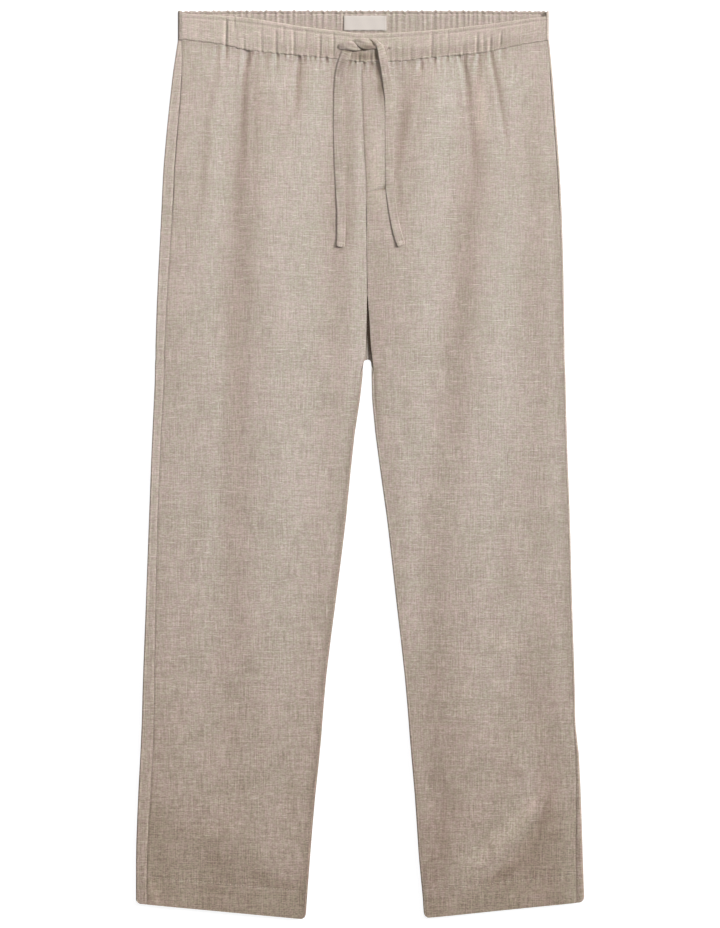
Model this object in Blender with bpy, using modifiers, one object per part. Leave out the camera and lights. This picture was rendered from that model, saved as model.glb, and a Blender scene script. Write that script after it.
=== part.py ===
"""Linen drawstring trousers, laid flat on their back panels with the front up.

Metres, +Z up, +Y towards the waist. "Right" and "left" are the wearer's, so the
right leg lies at -X. Each cloth piece is a wall: an outer face, an inner face one
cloth thickness behind it, and a rim. The two back panels lie on the surface and
turn up round the legs' edges, the two fronts lie on them, and the waistband,
label, pocket facings and drawstring are pieces of their own.
"""

import math

import bpy
import numpy as np
from mathutils import Vector
from mathutils.bvhtree import BVHTree

COLLECTION = "linen_drawstring_trousers"

# Driving sizes
CLOTH = 0.0012  # one layer of linen
BAND_CLOTH = 0.0022  # waistband: two layers, with the elastic or tape between them
SEAM_GAP = 0.0003  # between pieces that are sewn together
EDGE_RADIUS = 0.0022  # outer radius where a back panel turns up round a leg's edge
BAND_EDGE_RADIUS = 0.0026  # the same for the waistband
INSEAM_LAP = 0.0028  # how far in from the inner leg's edge the inseam lies
SHORT_LAP = 0.0002  # least length of cloth past the turn round an edge
LAP_RAMP = 0.0240  # below the crotch the back's inner edge turns up over this height
HEM_CORNER = 0.0058  # rounding of the hem's corners
FOLD_SCALE = 1.0  # deepens or flattens all the folds together
REST_HEIGHT = 0.0052  # outer face of a front that lies between folds
LOWEST_FACE = 0.0028  # outer face of a front pressed onto the back panel
EDGE_FADE = 0.0160  # a front slopes from its edges' height to its rest height over this
WAIST_FADE = 0.0300  # and towards its waist seam over this,
WAIST_SHARE = 0.7  # by this share of the difference
ROLL_HEIGHT = 0.0003  # slow unevenness all over a front
ROLL_WAVES = (38.0, 11.0, 17.0, 1.3)  # its waves in radians for each metre, and its start
GATHER_DEPTH = 0.0009  # half the height of a gather on the waistband
INNER_WAVE = 0.8  # the front waistband's inner face follows this share of a gather
BACK_WAVE = 0.5  # the back waistband's gathers are this much as high
PUCKER_DEPTH = 0.0007  # half the height of a pucker below the waist seam
PUCKER_FADE = 0.0200  # length of the puckers below the waist seam
PLAIN_MARGIN = 0.0040  # from the last gather to the plain cloth beside it
EDGE_MARGIN = 0.0022  # no gather lies nearer to a front's edges than this
BAND_UNDER = 0.0031  # underside of the front waistband
BAND_LAP = 0.0047  # how far the back waistband laps over at its right end
BAND_SECTION = (  # front waistband's section: (measured from, how far, how far lower)
    ("bottom", 0.0, 0.0006),
    ("bottom", 0.0022, 0.0),
    ("bottom", 0.0180, -0.0002),
    ("top", 0.0030, 0.0),
    ("top", 0.0008, 0.0007),
)
BAND_BACK_LEVELS = (0.0, 0.60, 0.97, 1.0)  # rows of the back waistband, as shares of its height
BAND_BACK_THINNING = 0.0006  # its top row is this much thinner on each side
SCALLOPS = ((0.0007, 310.0, 0.0), (0.0005, 137.0, 1.0))  # its top edge: size, waves, start
BAND_BACK_DROP = 0.0020  # how much lower its top edge lies at its ends
LABEL_SIZE = (0.0500, 0.0188)
LABEL_CLOTH = 0.0010
LABEL_CENTRE = (0.0065, 0.5209)
FACING_CLOTH = 0.0010
FACING_WIDTH = 0.0150
FACING_START = {"right": -0.0040, "left": 0.0012}  # its outer edge, in from the side seam
FACING_MARGIN = 0.0100  # a front stays raised this far past a facing's edges
FACING_SLOPE = 0.12  # and then slopes down like this
FACING_CLEARANCE = 0.0001
TAPE_CLOTH = 0.0013
TAPE_LIFT = 0.0004  # clearance between the drawstring and the cloth under it
TAPE_CROWN = 0.0003  # its edges are thinner than its middle by this on each face
TAPE_STEP = 0.0062  # length between its rows of points
TAPE_REACH = 0.0030  # it is laid on the highest cloth found this far before and after a row

SEAT_X = 0.0096  # the seat seam
MID_LEG_X = 0.1200
BACK_RISE_SHARE = 0.2500  # over this share of its height a back takes up its own waist seam
CROTCH_BACK = 0.1290  # y where the backs' seat seam ends
POCKET_Y = (0.2979, 0.4620)  # lower and upper end of a pocket's opening

# Outline of the panels seen from above, a row per station from the waist down.
OUTLINE_COLUMNS = ("y", "right_outer", "right_inner", "left_inner", "left_outer")
OUTLINE = (
    (0.5009, -0.2145, 0.0096, 0.0096, 0.2233),
    (0.4773, -0.2180, 0.0096, 0.0096, 0.2257),
    (0.4537, -0.2215, 0.0096, 0.0096, 0.2280),
    (0.4183, -0.2251, 0.0096, 0.0096, 0.2304),
    (0.3593, -0.2310, 0.0096, 0.0096, 0.2351),
    (0.2885, -0.2345, 0.0096, 0.0096, 0.2387),
    (0.1941, -0.2392, 0.0096, 0.0096, 0.2410),
    (0.1410, -0.2410, 0.0096, 0.0096, 0.2417),
    (0.1262, -0.2414, 0.0095, 0.0097, 0.2422),
    (0.1239, -0.2416, 0.0078, 0.0112, 0.2422),
    (0.1221, -0.2416, 0.0056, 0.0123, 0.2422),
    (0.1198, -0.2416, 0.0047, 0.0131, 0.2422),
    (0.1091, -0.2416, 0.0039, 0.0137, 0.2428),
    (0.0761, -0.2428, 0.0003, 0.0145, 0.2434),
    (0.0289, -0.2451, -0.0068, 0.0192, 0.2446),
    (-0.0655, -0.2487, -0.0162, 0.0322, 0.2481),
    (-0.1599, -0.2522, -0.0280, 0.0428, 0.2505),
    (-0.2543, -0.2558, -0.0398, 0.0534, 0.2535),
    (-0.3109, -0.2574, -0.0445, 0.0581, 0.2547),
    (-0.3274, -0.2581, -0.0457, 0.0593, 0.2575),
    (-0.3959, -0.2617, -0.0528, 0.0652, 0.2611),
    (-0.4667, -0.2640, -0.0587, 0.0699, 0.2634),
    (-0.5139, -0.2640, -0.0622, 0.0744, 0.2650),
    (-0.5370, -0.2640, -0.0638, 0.0758, 0.2655),
)

# How far in from the outer edge each side seam lies, on the upper side.
SIDE_SEAM_COLUMNS = ("y", "right", "left")
SIDE_SEAM = (
    (0.5009, 0.0047, 0.0026),
    (0.4620, 0.0106, 0.0026),
    (0.4301, 0.0122, 0.0026),
    (0.2979, 0.0133, 0.0026),
    (0.1941, 0.0118, 0.0026),
    (-0.0183, 0.0104, 0.0026),
    (-0.1599, 0.0118, 0.0026),
    (-0.2779, 0.0142, 0.0026),
    (-0.3109, 0.0147, 0.0026),
    (-0.3274, 0.0151, 0.0035),
    (-0.3959, 0.0147, 0.0061),
    (-0.4667, 0.0136, 0.0085),
    (-0.5370, 0.0130, 0.0097),
)

# The fronts' inner edges from the waist to where they follow the inseams, and the
# height of each one's outer face there. The left front laps over the right one.
CENTRE_COLUMNS = ("y", "right_edge", "left_edge", "right_height", "left_height")
CENTRE = (
    (0.4850, 0.0074, 0.0014, 0.0028, 0.0044),
    (0.4301, 0.0074, 0.0029, 0.0028, 0.0044),
    (0.3680, 0.0074, 0.0054, 0.0028, 0.0044),
    (0.3250, 0.0074, 0.0080, 0.0028, 0.0044),
    (0.3000, 0.0077, 0.0081, 0.0034, 0.0042),
    (0.2650, 0.0081, 0.0084, 0.0038, 0.0040),
    (0.1976, 0.0086, 0.0093, 0.0036, 0.0036),
    (0.1705, 0.0082, 0.0114, 0.0034, 0.0034),
    (0.1469, 0.0077, 0.0135, 0.0034, 0.0034),
    (0.1280, 0.0062, 0.0150, 0.0038, 0.0038),
    (0.1198, 0.0030, 0.0158, 0.0041, 0.0041),
    (0.1091, 0.0011, 0.0164, 0.0043, 0.0043),
    (0.0950, -0.0005, 0.0170, 0.0044, 0.0044),
    (0.0761, -0.0027, 0.0175, 0.0044, 0.0044),
)

# Front waistband: its top edge dips below the back one's, its lower edge is the
# waist seam.
BAND_TOP = (
    (-0.2145, 0.5328),
    (-0.1413, 0.5280),
    (-0.0705, 0.5174),
    (-0.0233, 0.5115),
    (0.0050, 0.5086),
    (0.0711, 0.5115),
    (0.1419, 0.5186),
    (0.2210, 0.5292),
)
WAIST_SEAM = (
    (-0.2121, 0.5009),
    (-0.1590, 0.4938),
    (-0.1330, 0.4879),
    (-0.0705, 0.4814),
    (-0.0257, 0.4773),
    (0.0050, 0.4738),
    (0.0475, 0.4749),
    (0.0805, 0.4785),
    (0.1419, 0.4844),
    (0.1891, 0.4938),
    (0.2233, 0.4997),
)
BACK_SEAM = (  # where the back panels meet the back waistband
    (-0.2145, 0.5009),
    (0.2233, 0.4997),
)
BAND_BACK_TOP = 0.5346
BAND_ENDS = (-0.2145, 0.2229)  # outer edges of the waistband
HEM_ENDS = {  # (x, y) of each hem's outer and inner corner
    "right": ((-0.2640, -0.5174), (-0.0638, -0.5362)),
    "left": ((0.2646, -0.5157), (0.0758, -0.5347)),
}

# Gathers: the stretch of each waistband that has them, and how many there are.
FRONT_GATHERS = {"start": -0.1590, "end": 0.1770, "count": 44}
BACK_GATHERS = {"start": -0.2000, "end": 0.2080, "count": 62}
BAND_CREASES = ((-0.1590, 0.0012), (-0.1495, 0.0007), (0.1540, 0.0009))  # x, depth
BAND_CREASE_WIDTH = 0.0040  # half of it
SPACING_WAVES = ((0.24, 1.7, 0.0), (0.12, 0.53, 1.0))  # uneven gathers: share, waves, start
CREST_SIZES = (0.70, 0.30, 2.1, 0.4)  # least share of the full height, the rest, waves, start
END_SIZES = (0.35, 7.0)  # share at the first and last gather, and how fast it grows from there

# Folds of each front, a row for each point of a fold's line: place, how high the cloth
# stands or dips there, and how far from the line it comes back to its rest height.
FOLD_COLUMNS = ("x", "y", "height", "half_width")
FOLDS = {
    "right": {
        "main_trough": (
            (-0.1425, 0.4850, -0.0012, 0.0200),
            (-0.1440, 0.4180, -0.0026, 0.0260),
            (-0.1500, 0.3400, -0.0023, 0.0290),
            (-0.1575, 0.2000, -0.0025, 0.0330),
            (-0.1600, 0.0800, -0.0022, 0.0320),
            (-0.1600, -0.0900, -0.0018, 0.0320),
            (-0.1650, -0.2200, -0.0009, 0.0340),
            (-0.1690, -0.3400, -0.0008, 0.0340),
            (-0.1690, -0.4100, 0.0, 0.0340),
        ),
        "middle_ridge": (
            (-0.1110, 0.4800, 0.0008, 0.0240),
            (-0.1100, 0.4200, 0.0015, 0.0380),
            (-0.1150, 0.3200, 0.0024, 0.0480),
            (-0.1190, 0.1900, 0.0022, 0.0500),
            (-0.1200, 0.0000, 0.0022, 0.0500),
            (-0.1220, -0.1000, 0.0020, 0.0480),
            (-0.1200, -0.2400, 0.0011, 0.0460),
            (-0.1180, -0.3500, 0.0008, 0.0400),
            (-0.1300, -0.4200, 0.0007, 0.0500),
            (-0.1360, -0.4900, 0.0009, 0.0500),
        ),
        "short_ridge": (
            (-0.0560, 0.4650, 0.0012, 0.0200),
            (-0.0700, 0.4180, 0.0014, 0.0260),
            (-0.0800, 0.3700, 0.0, 0.0260),
        ),
        "short_trough": (
            (-0.0790, 0.4850, -0.0014, 0.0140),
            (-0.0810, 0.4400, -0.0014, 0.0150),
            (-0.0860, 0.4000, -0.0004, 0.0150),
            (-0.0880, 0.3750, 0.0, 0.0150),
        ),
        "inner_trough": (
            (-0.0370, 0.4600, -0.0010, 0.0260),
            (-0.0380, 0.4100, -0.0021, 0.0320),
            (-0.0430, 0.3300, -0.0023, 0.0340),
            (-0.0445, 0.2000, -0.0017, 0.0350),
            (-0.0440, 0.0700, -0.0011, 0.0320),
            (-0.0500, -0.0800, -0.0012, 0.0320),
            (-0.0600, -0.2200, -0.0009, 0.0300),
            (-0.0680, -0.3400, -0.0008, 0.0300),
            (-0.0720, -0.4200, 0.0, 0.0300),
        ),
        "outer_trough": (
            (-0.1760, 0.4600, -0.0004, 0.0150),
            (-0.1840, 0.4100, -0.0009, 0.0180),
            (-0.1940, 0.3500, -0.0009, 0.0180),
            (-0.2000, 0.2700, 0.0, 0.0180),
        ),
        "hem_ridge": (
            (-0.2480, -0.3960, 0.0004, 0.0300),
            (-0.1885, -0.4180, 0.0014, 0.0400),
            (-0.1240, -0.4400, 0.0014, 0.0400),
            (-0.0700, -0.4550, 0.0006, 0.0300),
        ),
        "hem_dip": (
            (-0.1900, -0.4300, 0.0, 0.0260),
            (-0.1890, -0.4700, -0.0008, 0.0260),
            (-0.1880, -0.5000, -0.0009, 0.0260),
        ),
        "hem_inner_dip": (
            (-0.0950, -0.3800, -0.0006, 0.0280),
            (-0.0800, -0.4400, -0.0006, 0.0280),
            (-0.0770, -0.5000, -0.0009, 0.0280),
        ),
    },
    "left": {
        "fly_trough": (
            (0.0480, 0.4850, -0.0010, 0.0160),
            (0.0455, 0.4500, -0.0018, 0.0180),
            (0.0430, 0.4150, -0.0022, 0.0180),
            (0.0440, 0.3700, -0.0012, 0.0180),
            (0.0450, 0.3200, 0.0, 0.0180),
        ),
        "fly_ridge": (
            (0.0860, 0.4850, 0.0008, 0.0220),
            (0.0850, 0.4500, 0.0021, 0.0250),
            (0.0740, 0.4150, 0.0020, 0.0260),
            (0.0665, 0.3600, 0.0020, 0.0260),
            (0.0610, 0.2900, 0.0016, 0.0280),
            (0.0570, 0.2100, 0.0011, 0.0300),
            (0.0530, 0.1400, 0.0, 0.0300),
        ),
        "main_trough": (
            (0.1205, 0.4850, -0.0014, 0.0180),
            (0.1207, 0.4500, -0.0024, 0.0220),
            (0.1190, 0.3700, -0.0023, 0.0280),
            (0.1130, 0.3000, -0.0023, 0.0300),
            (0.1040, 0.1900, -0.0022, 0.0320),
            (0.0950, 0.0900, -0.0016, 0.0320),
            (0.0820, -0.0100, -0.0012, 0.0300),
            (0.0740, -0.1000, -0.0011, 0.0260),
            (0.0720, -0.2300, -0.0012, 0.0260),
            (0.0780, -0.3200, -0.0006, 0.0240),
            (0.0850, -0.3900, -0.0012, 0.0240),
            (0.0860, -0.4400, 0.0, 0.0240),
        ),
        "middle_ridge": (
            (0.1640, 0.4850, 0.0008, 0.0200),
            (0.1630, 0.4500, 0.0021, 0.0300),
            (0.1570, 0.3900, 0.0010, 0.0300),
            (0.1530, 0.3100, 0.0018, 0.0380),
            (0.1440, 0.2200, 0.0024, 0.0400),
            (0.1390, 0.1200, 0.0022, 0.0420),
            (0.1280, 0.0000, 0.0019, 0.0440),
            (0.1170, -0.0850, 0.0018, 0.0440),
            (0.1270, -0.1650, 0.0013, 0.0460),
            (0.1190, -0.2500, 0.0020, 0.0420),
            (0.1230, -0.3300, 0.0012, 0.0420),
            (0.1280, -0.4000, 0.0018, 0.0420),
            (0.1090, -0.4600, 0.0022, 0.0380),
            (0.1050, -0.5000, 0.0016, 0.0360),
        ),
        "thin_trough": (
            (0.1520, 0.4800, -0.0010, 0.0090),
            (0.1560, 0.4400, -0.0009, 0.0110),
            (0.1660, 0.3900, -0.0007, 0.0110),
            (0.1720, 0.3500, 0.0, 0.0110),
        ),
        "outer_trough": (
            (0.2000, 0.4800, -0.0005, 0.0180),
            (0.2000, 0.4500, -0.0014, 0.0240),
            (0.1930, 0.3900, -0.0005, 0.0280),
            (0.1980, 0.3000, -0.0009, 0.0300),
            (0.1920, 0.2200, -0.0014, 0.0320),
            (0.1980, 0.0900, -0.0012, 0.0320),
            (0.1870, 0.0000, -0.0013, 0.0320),
            (0.1840, -0.0850, -0.0010, 0.0320),
            (0.2060, -0.1650, -0.0009, 0.0320),
            (0.1830, -0.2500, -0.0017, 0.0340),
            (0.2100, -0.3300, -0.0010, 0.0300),
            (0.2080, -0.4000, -0.0022, 0.0300),
            (0.1850, -0.4500, -0.0022, 0.0320),
            (0.1620, -0.4850, -0.0014, 0.0320),
        ),
        "shin_ridge": (
            (0.2060, -0.3300, 0.0, 0.0220),
            (0.1850, -0.3840, 0.0010, 0.0240),
            (0.1500, -0.4370, 0.0012, 0.0260),
            (0.1120, -0.4730, 0.0006, 0.0240),
        ),
        "side_ridge": (
            (0.2320, -0.3300, 0.0, 0.0240),
            (0.2400, -0.4000, 0.0014, 0.0260),
            (0.2380, -0.4600, 0.0012, 0.0300),
            (0.2380, -0.5000, 0.0008, 0.0300),
        ),
    },
}

# Drawstring, from its hole in the waistband to its end: place, how far its middle
# is raised above where it would lie on the cloth, and its width there.
DRAWSTRING_COLUMNS = ("x", "y", "raised", "width")
DRAWSTRING = {
    "right": (
        (-0.0251, 0.4938, 0.0000, 0.0070),
        (-0.0198, 0.4950, 0.0014, 0.0072),
        (-0.0127, 0.4947, 0.0026, 0.0074),
        (-0.0068, 0.4922, 0.0018, 0.0070),
        (-0.0015, 0.4910, 0.0008, 0.0066),
        (0.0032, 0.4938, 0.0001, 0.0068),
        (0.0074, 0.4980, 0.0000, 0.0066),
        (0.0121, 0.5021, 0.0004, 0.0066),
        (0.0174, 0.5033, 0.0014, 0.0068),
        (0.0221, 0.5003, 0.0026, 0.0072),
        (0.0251, 0.4944, 0.0028, 0.0078),
        (0.0255, 0.4872, 0.0019, 0.0089),
        (0.0267, 0.4804, 0.0011, 0.0097),
        (0.0284, 0.4726, 0.0005, 0.0103),
        (0.0302, 0.4632, 0.0002, 0.0105),
        (0.0317, 0.4537, 0.0000, 0.0105),
        (0.0330, 0.4437, 0.0000, 0.0105),
        (0.0345, 0.4313, 0.0000, 0.0105),
        (0.0349, 0.4160, 0.0000, 0.0105),
        (0.0350, 0.3971, 0.0000, 0.0105),
        (0.0349, 0.3711, 0.0000, 0.0105),
        (0.0350, 0.3481, 0.0000, 0.0105),
        (0.0357, 0.3245, 0.0000, 0.0105),
        (0.0372, 0.3103, 0.0000, 0.0105),
        (0.0394, 0.2950, 0.0000, 0.0105),
        (0.0431, 0.2773, 0.0000, 0.0105),
        (0.0456, 0.2679, 0.0000, 0.0104),
        (0.0489, 0.2578, 0.0000, 0.0100),
    ),
    "left": (
        (0.0333, 0.4903, 0.0000, 0.0070),
        (0.0292, 0.4905, 0.0000, 0.0070),
        (0.0239, 0.4915, 0.0000, 0.0070),
        (0.0180, 0.4926, 0.0008, 0.0070),
        (0.0121, 0.4954, 0.0020, 0.0074),
        (0.0068, 0.4976, 0.0028, 0.0076),
        (0.0015, 0.4990, 0.0024, 0.0072),
        (-0.0032, 0.4998, 0.0014, 0.0066),
        (-0.0076, 0.4982, 0.0003, 0.0064),
        (-0.0109, 0.4932, 0.0000, 0.0066),
        (-0.0146, 0.4875, 0.0000, 0.0075),
        (-0.0176, 0.4808, 0.0000, 0.0090),
        (-0.0205, 0.4738, 0.0000, 0.0100),
        (-0.0230, 0.4655, 0.0000, 0.0105),
        (-0.0246, 0.4549, 0.0000, 0.0105),
        (-0.0257, 0.4395, 0.0000, 0.0105),
        (-0.0259, 0.4160, 0.0000, 0.0105),
        (-0.0259, 0.3947, 0.0000, 0.0105),
        (-0.0254, 0.3688, 0.0000, 0.0105),
        (-0.0245, 0.3452, 0.0000, 0.0105),
        (-0.0231, 0.3216, 0.0000, 0.0105),
        (-0.0220, 0.2979, 0.0000, 0.0105),
        (-0.0219, 0.2744, 0.0000, 0.0103),
        (-0.0228, 0.2566, 0.0000, 0.0100),
    ),
}

# Stations down a panel, as heights at its inner edge, from below the puckers. The
# backs have more of them just under the crotch, where their inner edges turn up.
FRONT_STATIONS = (
    0.4350, 0.4050, 0.3680, 0.3250, 0.3000, 0.2650, 0.2300, 0.1976, 0.1705, 0.1469, 0.1280,
    0.1091, 0.0950, 0.0761, 0.0360, -0.0150, -0.0655, -0.1125, -0.1600, -0.2070, -0.2543,
    -0.2860, -0.3109, -0.3274, -0.3610, -0.3959, -0.4310, -0.4667, -0.4920, -0.5139,
)
CROTCH_STATIONS = (0.1262, 0.1239, 0.1221, 0.1198, 0.1150)
FRONT_COLUMNS = 20
NEAR_EDGE_COLUMNS = (0.022, 0.075, 0.978)  # more of them, as shares of a front's width
PUCKER_ROWS = ((0.0, 1.0), (0.0080, 0.8), (PUCKER_FADE, 0.25))  # depth below the seam, strength
ARC_STEPS = 5
SHARP_ANGLE = math.radians(60)

LINEN = (0.40, 0.33, 0.27)
LINEN_BAND = (0.43, 0.36, 0.30)
LINEN_INSIDE = (0.38, 0.31, 0.26)
LINEN_TAPE = (0.36, 0.29, 0.24)
LABEL_CREAM = (0.66, 0.60, 0.53)


def clear_scene():
    for obj in list(bpy.data.objects):
        bpy.data.objects.remove(obj, do_unlink=True)


def new_collection(name):
    collection = bpy.data.collections.new(name)
    bpy.context.scene.collection.children.link(collection)
    return collection


def new_material(name, colour, roughness):
    material = bpy.data.materials.new(name)
    material.use_nodes = True
    shader = material.node_tree.nodes["Principled BSDF"]
    shader.inputs["Base Color"].default_value = (*colour, 1.0)
    shader.inputs["Roughness"].default_value = roughness
    shader.inputs["Metallic"].default_value = 0.0
    return material


def smooth_curve(points, at):
    """A smooth curve through points (x, value), read at x, which never overshoots them."""
    xs, values = np.array(points).T
    secants = np.diff(values) / np.diff(xs)
    slopes = np.concatenate([secants[:1], np.zeros(len(xs) - 2), secants[-1:]])
    for i, (before, after) in enumerate(zip(secants, secants[1:]), start=1):
        if before * after > 0:
            slopes[i] = 2 * before * after / (before + after)
    index = int(np.clip(np.searchsorted(xs, at) - 1, 0, len(xs) - 2))
    width = xs[index + 1] - xs[index]
    t = float(np.clip((at - xs[index]) / width, 0.0, 1.0))
    start = (1 + 2 * t) * (1 - t) ** 2 * values[index] + t * (1 - t) ** 2 * width * slopes[index]
    end = t * t * (3 - 2 * t) * values[index + 1] - t * t * (1 - t) * width * slopes[index + 1]
    return float(start + end)


def column(table, names, name, y):
    """The named column of a table whose rows run downwards, read at a height y."""
    which = names.index(name)
    return smooth_curve([(row[0], row[which]) for row in reversed(table)], y)


def waist_y(x):
    return smooth_curve(WAIST_SEAM, x)


def back_seam_y(x):
    return smooth_curve(BACK_SEAM, x)


def hem_y(side, x):
    """Height of the hem at x, with its two corners rounded."""
    (outer_x, outer_y), (inner_x, inner_y) = HEM_ENDS[side]
    share = (x - outer_x) / (inner_x - outer_x)
    y = outer_y + share * (inner_y - outer_y)
    from_corner = min(abs(x - outer_x), abs(x - inner_x))
    inside = 0.0 <= share <= 1.0
    short = HEM_CORNER - from_corner if inside else HEM_CORNER
    if short > 0.0:
        y += HEM_CORNER - math.sqrt(max(HEM_CORNER ** 2 - short ** 2, 0.0))
    return y


def outward(side):
    """-1 for the right leg, whose outer edge is at -X, and +1 for the left one."""
    return -1.0 if side == "right" else 1.0


def outline(side, edge, y):
    return column(OUTLINE, OUTLINE_COLUMNS, f"{side}_{edge}", y)


def side_seam_x(side, y):
    inset = column(SIDE_SEAM, SIDE_SEAM_COLUMNS, side, y)
    return outline(side, "outer", y) - outward(side) * inset


def inner_edge_x(side, y):
    """The inner edge of a front: the centre seam, then the inseam."""
    if y > CENTRE[-1][0]:
        return column(CENTRE, CENTRE_COLUMNS, f"{side}_edge", y)
    return outline(side, "inner", y) + outward(side) * INSEAM_LAP


def bump(distance, half_width):
    """1 on a fold's line, falling smoothly to 0 at its half width."""
    share = min(abs(distance) / half_width, 1.0)
    return (1.0 - share * share) ** 2


def fold_height(line, x, y):
    """How much a fold raises or lowers the cloth at a place, from the nearest point of its line."""
    nearest = (math.inf, 0.0)
    for start, end in zip(line, line[1:]):
        run = (end[0] - start[0], end[1] - start[1])
        t = ((x - start[0]) * run[0] + (y - start[1]) * run[1]) / (run[0] ** 2 + run[1] ** 2)
        t = min(max(t, 0.0), 1.0)
        gap = math.hypot(x - start[0] - t * run[0], y - start[1] - t * run[1])
        if gap < nearest[0]:
            height = start[2] + t * (end[2] - start[2])
            half_width = start[3] + t * (end[3] - start[3])
            nearest = (gap, height * bump(gap, half_width))
    return nearest[1]


def over_facing(from_seam, y):
    """The least height of a front's outer face where it lies on a pocket facing."""
    stack = CLOTH + FACING_CLOTH + CLOTH + 2 * SEAM_GAP + FACING_CLEARANCE
    past = max(from_seam - FACING_WIDTH, POCKET_Y[0] - y, y - POCKET_Y[1], 0.0)
    return stack - FACING_SLOPE * max(past - FACING_MARGIN, 0.0)


def front_height(side, x, y):
    """Height of a front's outer face, folds included."""
    inner_x = inner_edge_x(side, y)
    outer_x = side_seam_x(side, y)
    inner_height = 2 * EDGE_RADIUS
    if y > CENTRE[-1][0]:
        inner_height = column(CENTRE, CENTRE_COLUMNS, f"{side}_height", y)
    from_inner = abs(x - inner_x)
    from_outer = abs(x - outer_x)
    across, along, down, start = ROLL_WAVES
    roll = ROLL_HEIGHT * math.sin(across * x + along * y) * math.sin(down * y + start)
    height = REST_HEIGHT + roll
    height += FOLD_SCALE * sum(fold_height(line, x, y) for line in FOLDS[side].values())
    near_inner = bump(from_inner, EDGE_FADE)
    near_outer = bump(from_outer, EDGE_FADE)
    height += near_inner * (inner_height - height)
    height += near_outer * (2 * EDGE_RADIUS - height)
    height = max(height, over_facing(from_outer, y))
    near_waist = bump(waist_y(x) - y, WAIST_FADE)
    height += WAIST_SHARE * near_waist * (1 - near_inner) * (2 * EDGE_RADIUS - height)
    return max(height, LOWEST_FACE)


def gather_crests(gathers):
    """(x, signed height from -1 to 1) at each crest and valley, unevenly spaced."""
    turns = 2 * gathers["count"]
    steps = []
    for index in range(turns):
        unevenness = sum(size * math.sin(waves * index + start) for size, waves, start in SPACING_WAVES)
        steps.append(1.0 + unevenness)
    places = np.concatenate([[0.0], np.cumsum(steps)])
    places = gathers["start"] + (gathers["end"] - gathers["start"]) * places / places[-1]
    least, rest, waves, start = CREST_SIZES
    end_size, growth = END_SIZES
    crests = []
    for index, x in enumerate(places):
        size = least + rest * abs(math.sin(waves * index + start))
        size *= min(steps[max(index - 1, 0)], steps[min(index, turns - 1)], 1.0)
        from_end = min(index, turns - index) / turns
        size *= min(1.0, end_size + growth * from_end)
        crests.append((float(x), size * (1.0 if index % 2 else -1.0)))
    return crests


def grid_faces(rows, columns, first=0):
    faces = []
    for row in range(rows - 1):
        for col in range(columns - 1):
            a = first + row * columns + col
            faces.append((a, a + 1, a + 1 + columns, a + columns))
    return faces


def zip_faces(upper, lower, x_of):
    """Triangles between two rows of points that have different numbers of columns."""
    faces = []
    i = j = 0
    while i < len(upper) - 1 or j < len(lower) - 1:
        next_up = x_of[upper[i + 1]] if i < len(upper) - 1 else math.inf
        next_low = x_of[lower[j + 1]] if j < len(lower) - 1 else math.inf
        if next_up <= next_low:
            faces.append((upper[i], upper[i + 1], lower[j]))
            i += 1
        else:
            faces.append((upper[i], lower[j + 1], lower[j]))
            j += 1
    return faces


def wall(name, outer, inner, faces, material, collection):
    """A closed wall between two faces with the same layout, joined by a rim."""
    count = len(outer)
    used = {}
    for face in faces:
        for a, b in zip(face, face[1:] + face[:1]):
            used[(a, b)] = face
    rim = []
    for a, b in used:
        if (b, a) not in used:
            rim.append((b, a, a + count, b + count))
    inside = [tuple(index + count for index in reversed(face)) for face in faces]
    mesh = bpy.data.meshes.new(name)
    mesh.from_pydata([*outer, *inner], [], [*faces, *inside, *rim])
    mesh.validate()
    mesh.update()
    flat = np.array([vertex.co[:] for vertex in mesh.vertices])
    mesh.calc_loop_triangles()
    corners = flat[[tuple(triangle.vertices) for triangle in mesh.loop_triangles]]
    if np.linalg.det(corners).sum() < 0:
        mesh.flip_normals()
    mesh.shade_smooth()
    mesh.set_sharp_from_angle(angle=SHARP_ANGLE)
    obj = bpy.data.objects.new(name, mesh)
    mesh.materials.append(material)
    collection.objects.link(obj)
    return obj


def row_share(side, level):
    """How far down a panel the row that passes the seat seam's line at this height lies."""
    top = waist_y(SEAT_X)
    return (top - level) / (top - HEM_ENDS[side][1][1])


def front_y(side, share, x):
    """Height of a front's row at this share, which bends from the waist seam to the hem."""
    return (1 - share) * (waist_y(x) - SEAM_GAP / 2) + share * hem_y(side, x)


def back_y(side, share, x):
    """The same for a back, whose first rows rise to the straight seam of its waistband."""
    rise = back_seam_y(x) - waist_y(x)
    return front_y(side, share, x) + rise * max(0.0, 1.0 - share / BACK_RISE_SHARE)


def front_columns(count):
    """Shares of a front's width, closer together near both edges."""
    places = np.linspace(0.0, 1.0, count - len(NEAR_EDGE_COLUMNS))
    return sorted([*places, *NEAR_EDGE_COLUMNS])


def front_row(side, share, shares):
    """Points along one row of a front, from its inner edge to its side seam."""
    points = []
    inset = outward(side) * SEAM_GAP / 2
    for across in shares:
        y = front_y(side, share, MID_LEG_X * outward(side))
        for _ in range(4):
            x = inner_edge_x(side, y) + across * (side_seam_x(side, y) - inner_edge_x(side, y))
            y = front_y(side, share, x)
        x += inset * (1.0 - 2.0 * across)
        points.append((x, y, front_height(side, x, y)))
    return points


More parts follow.
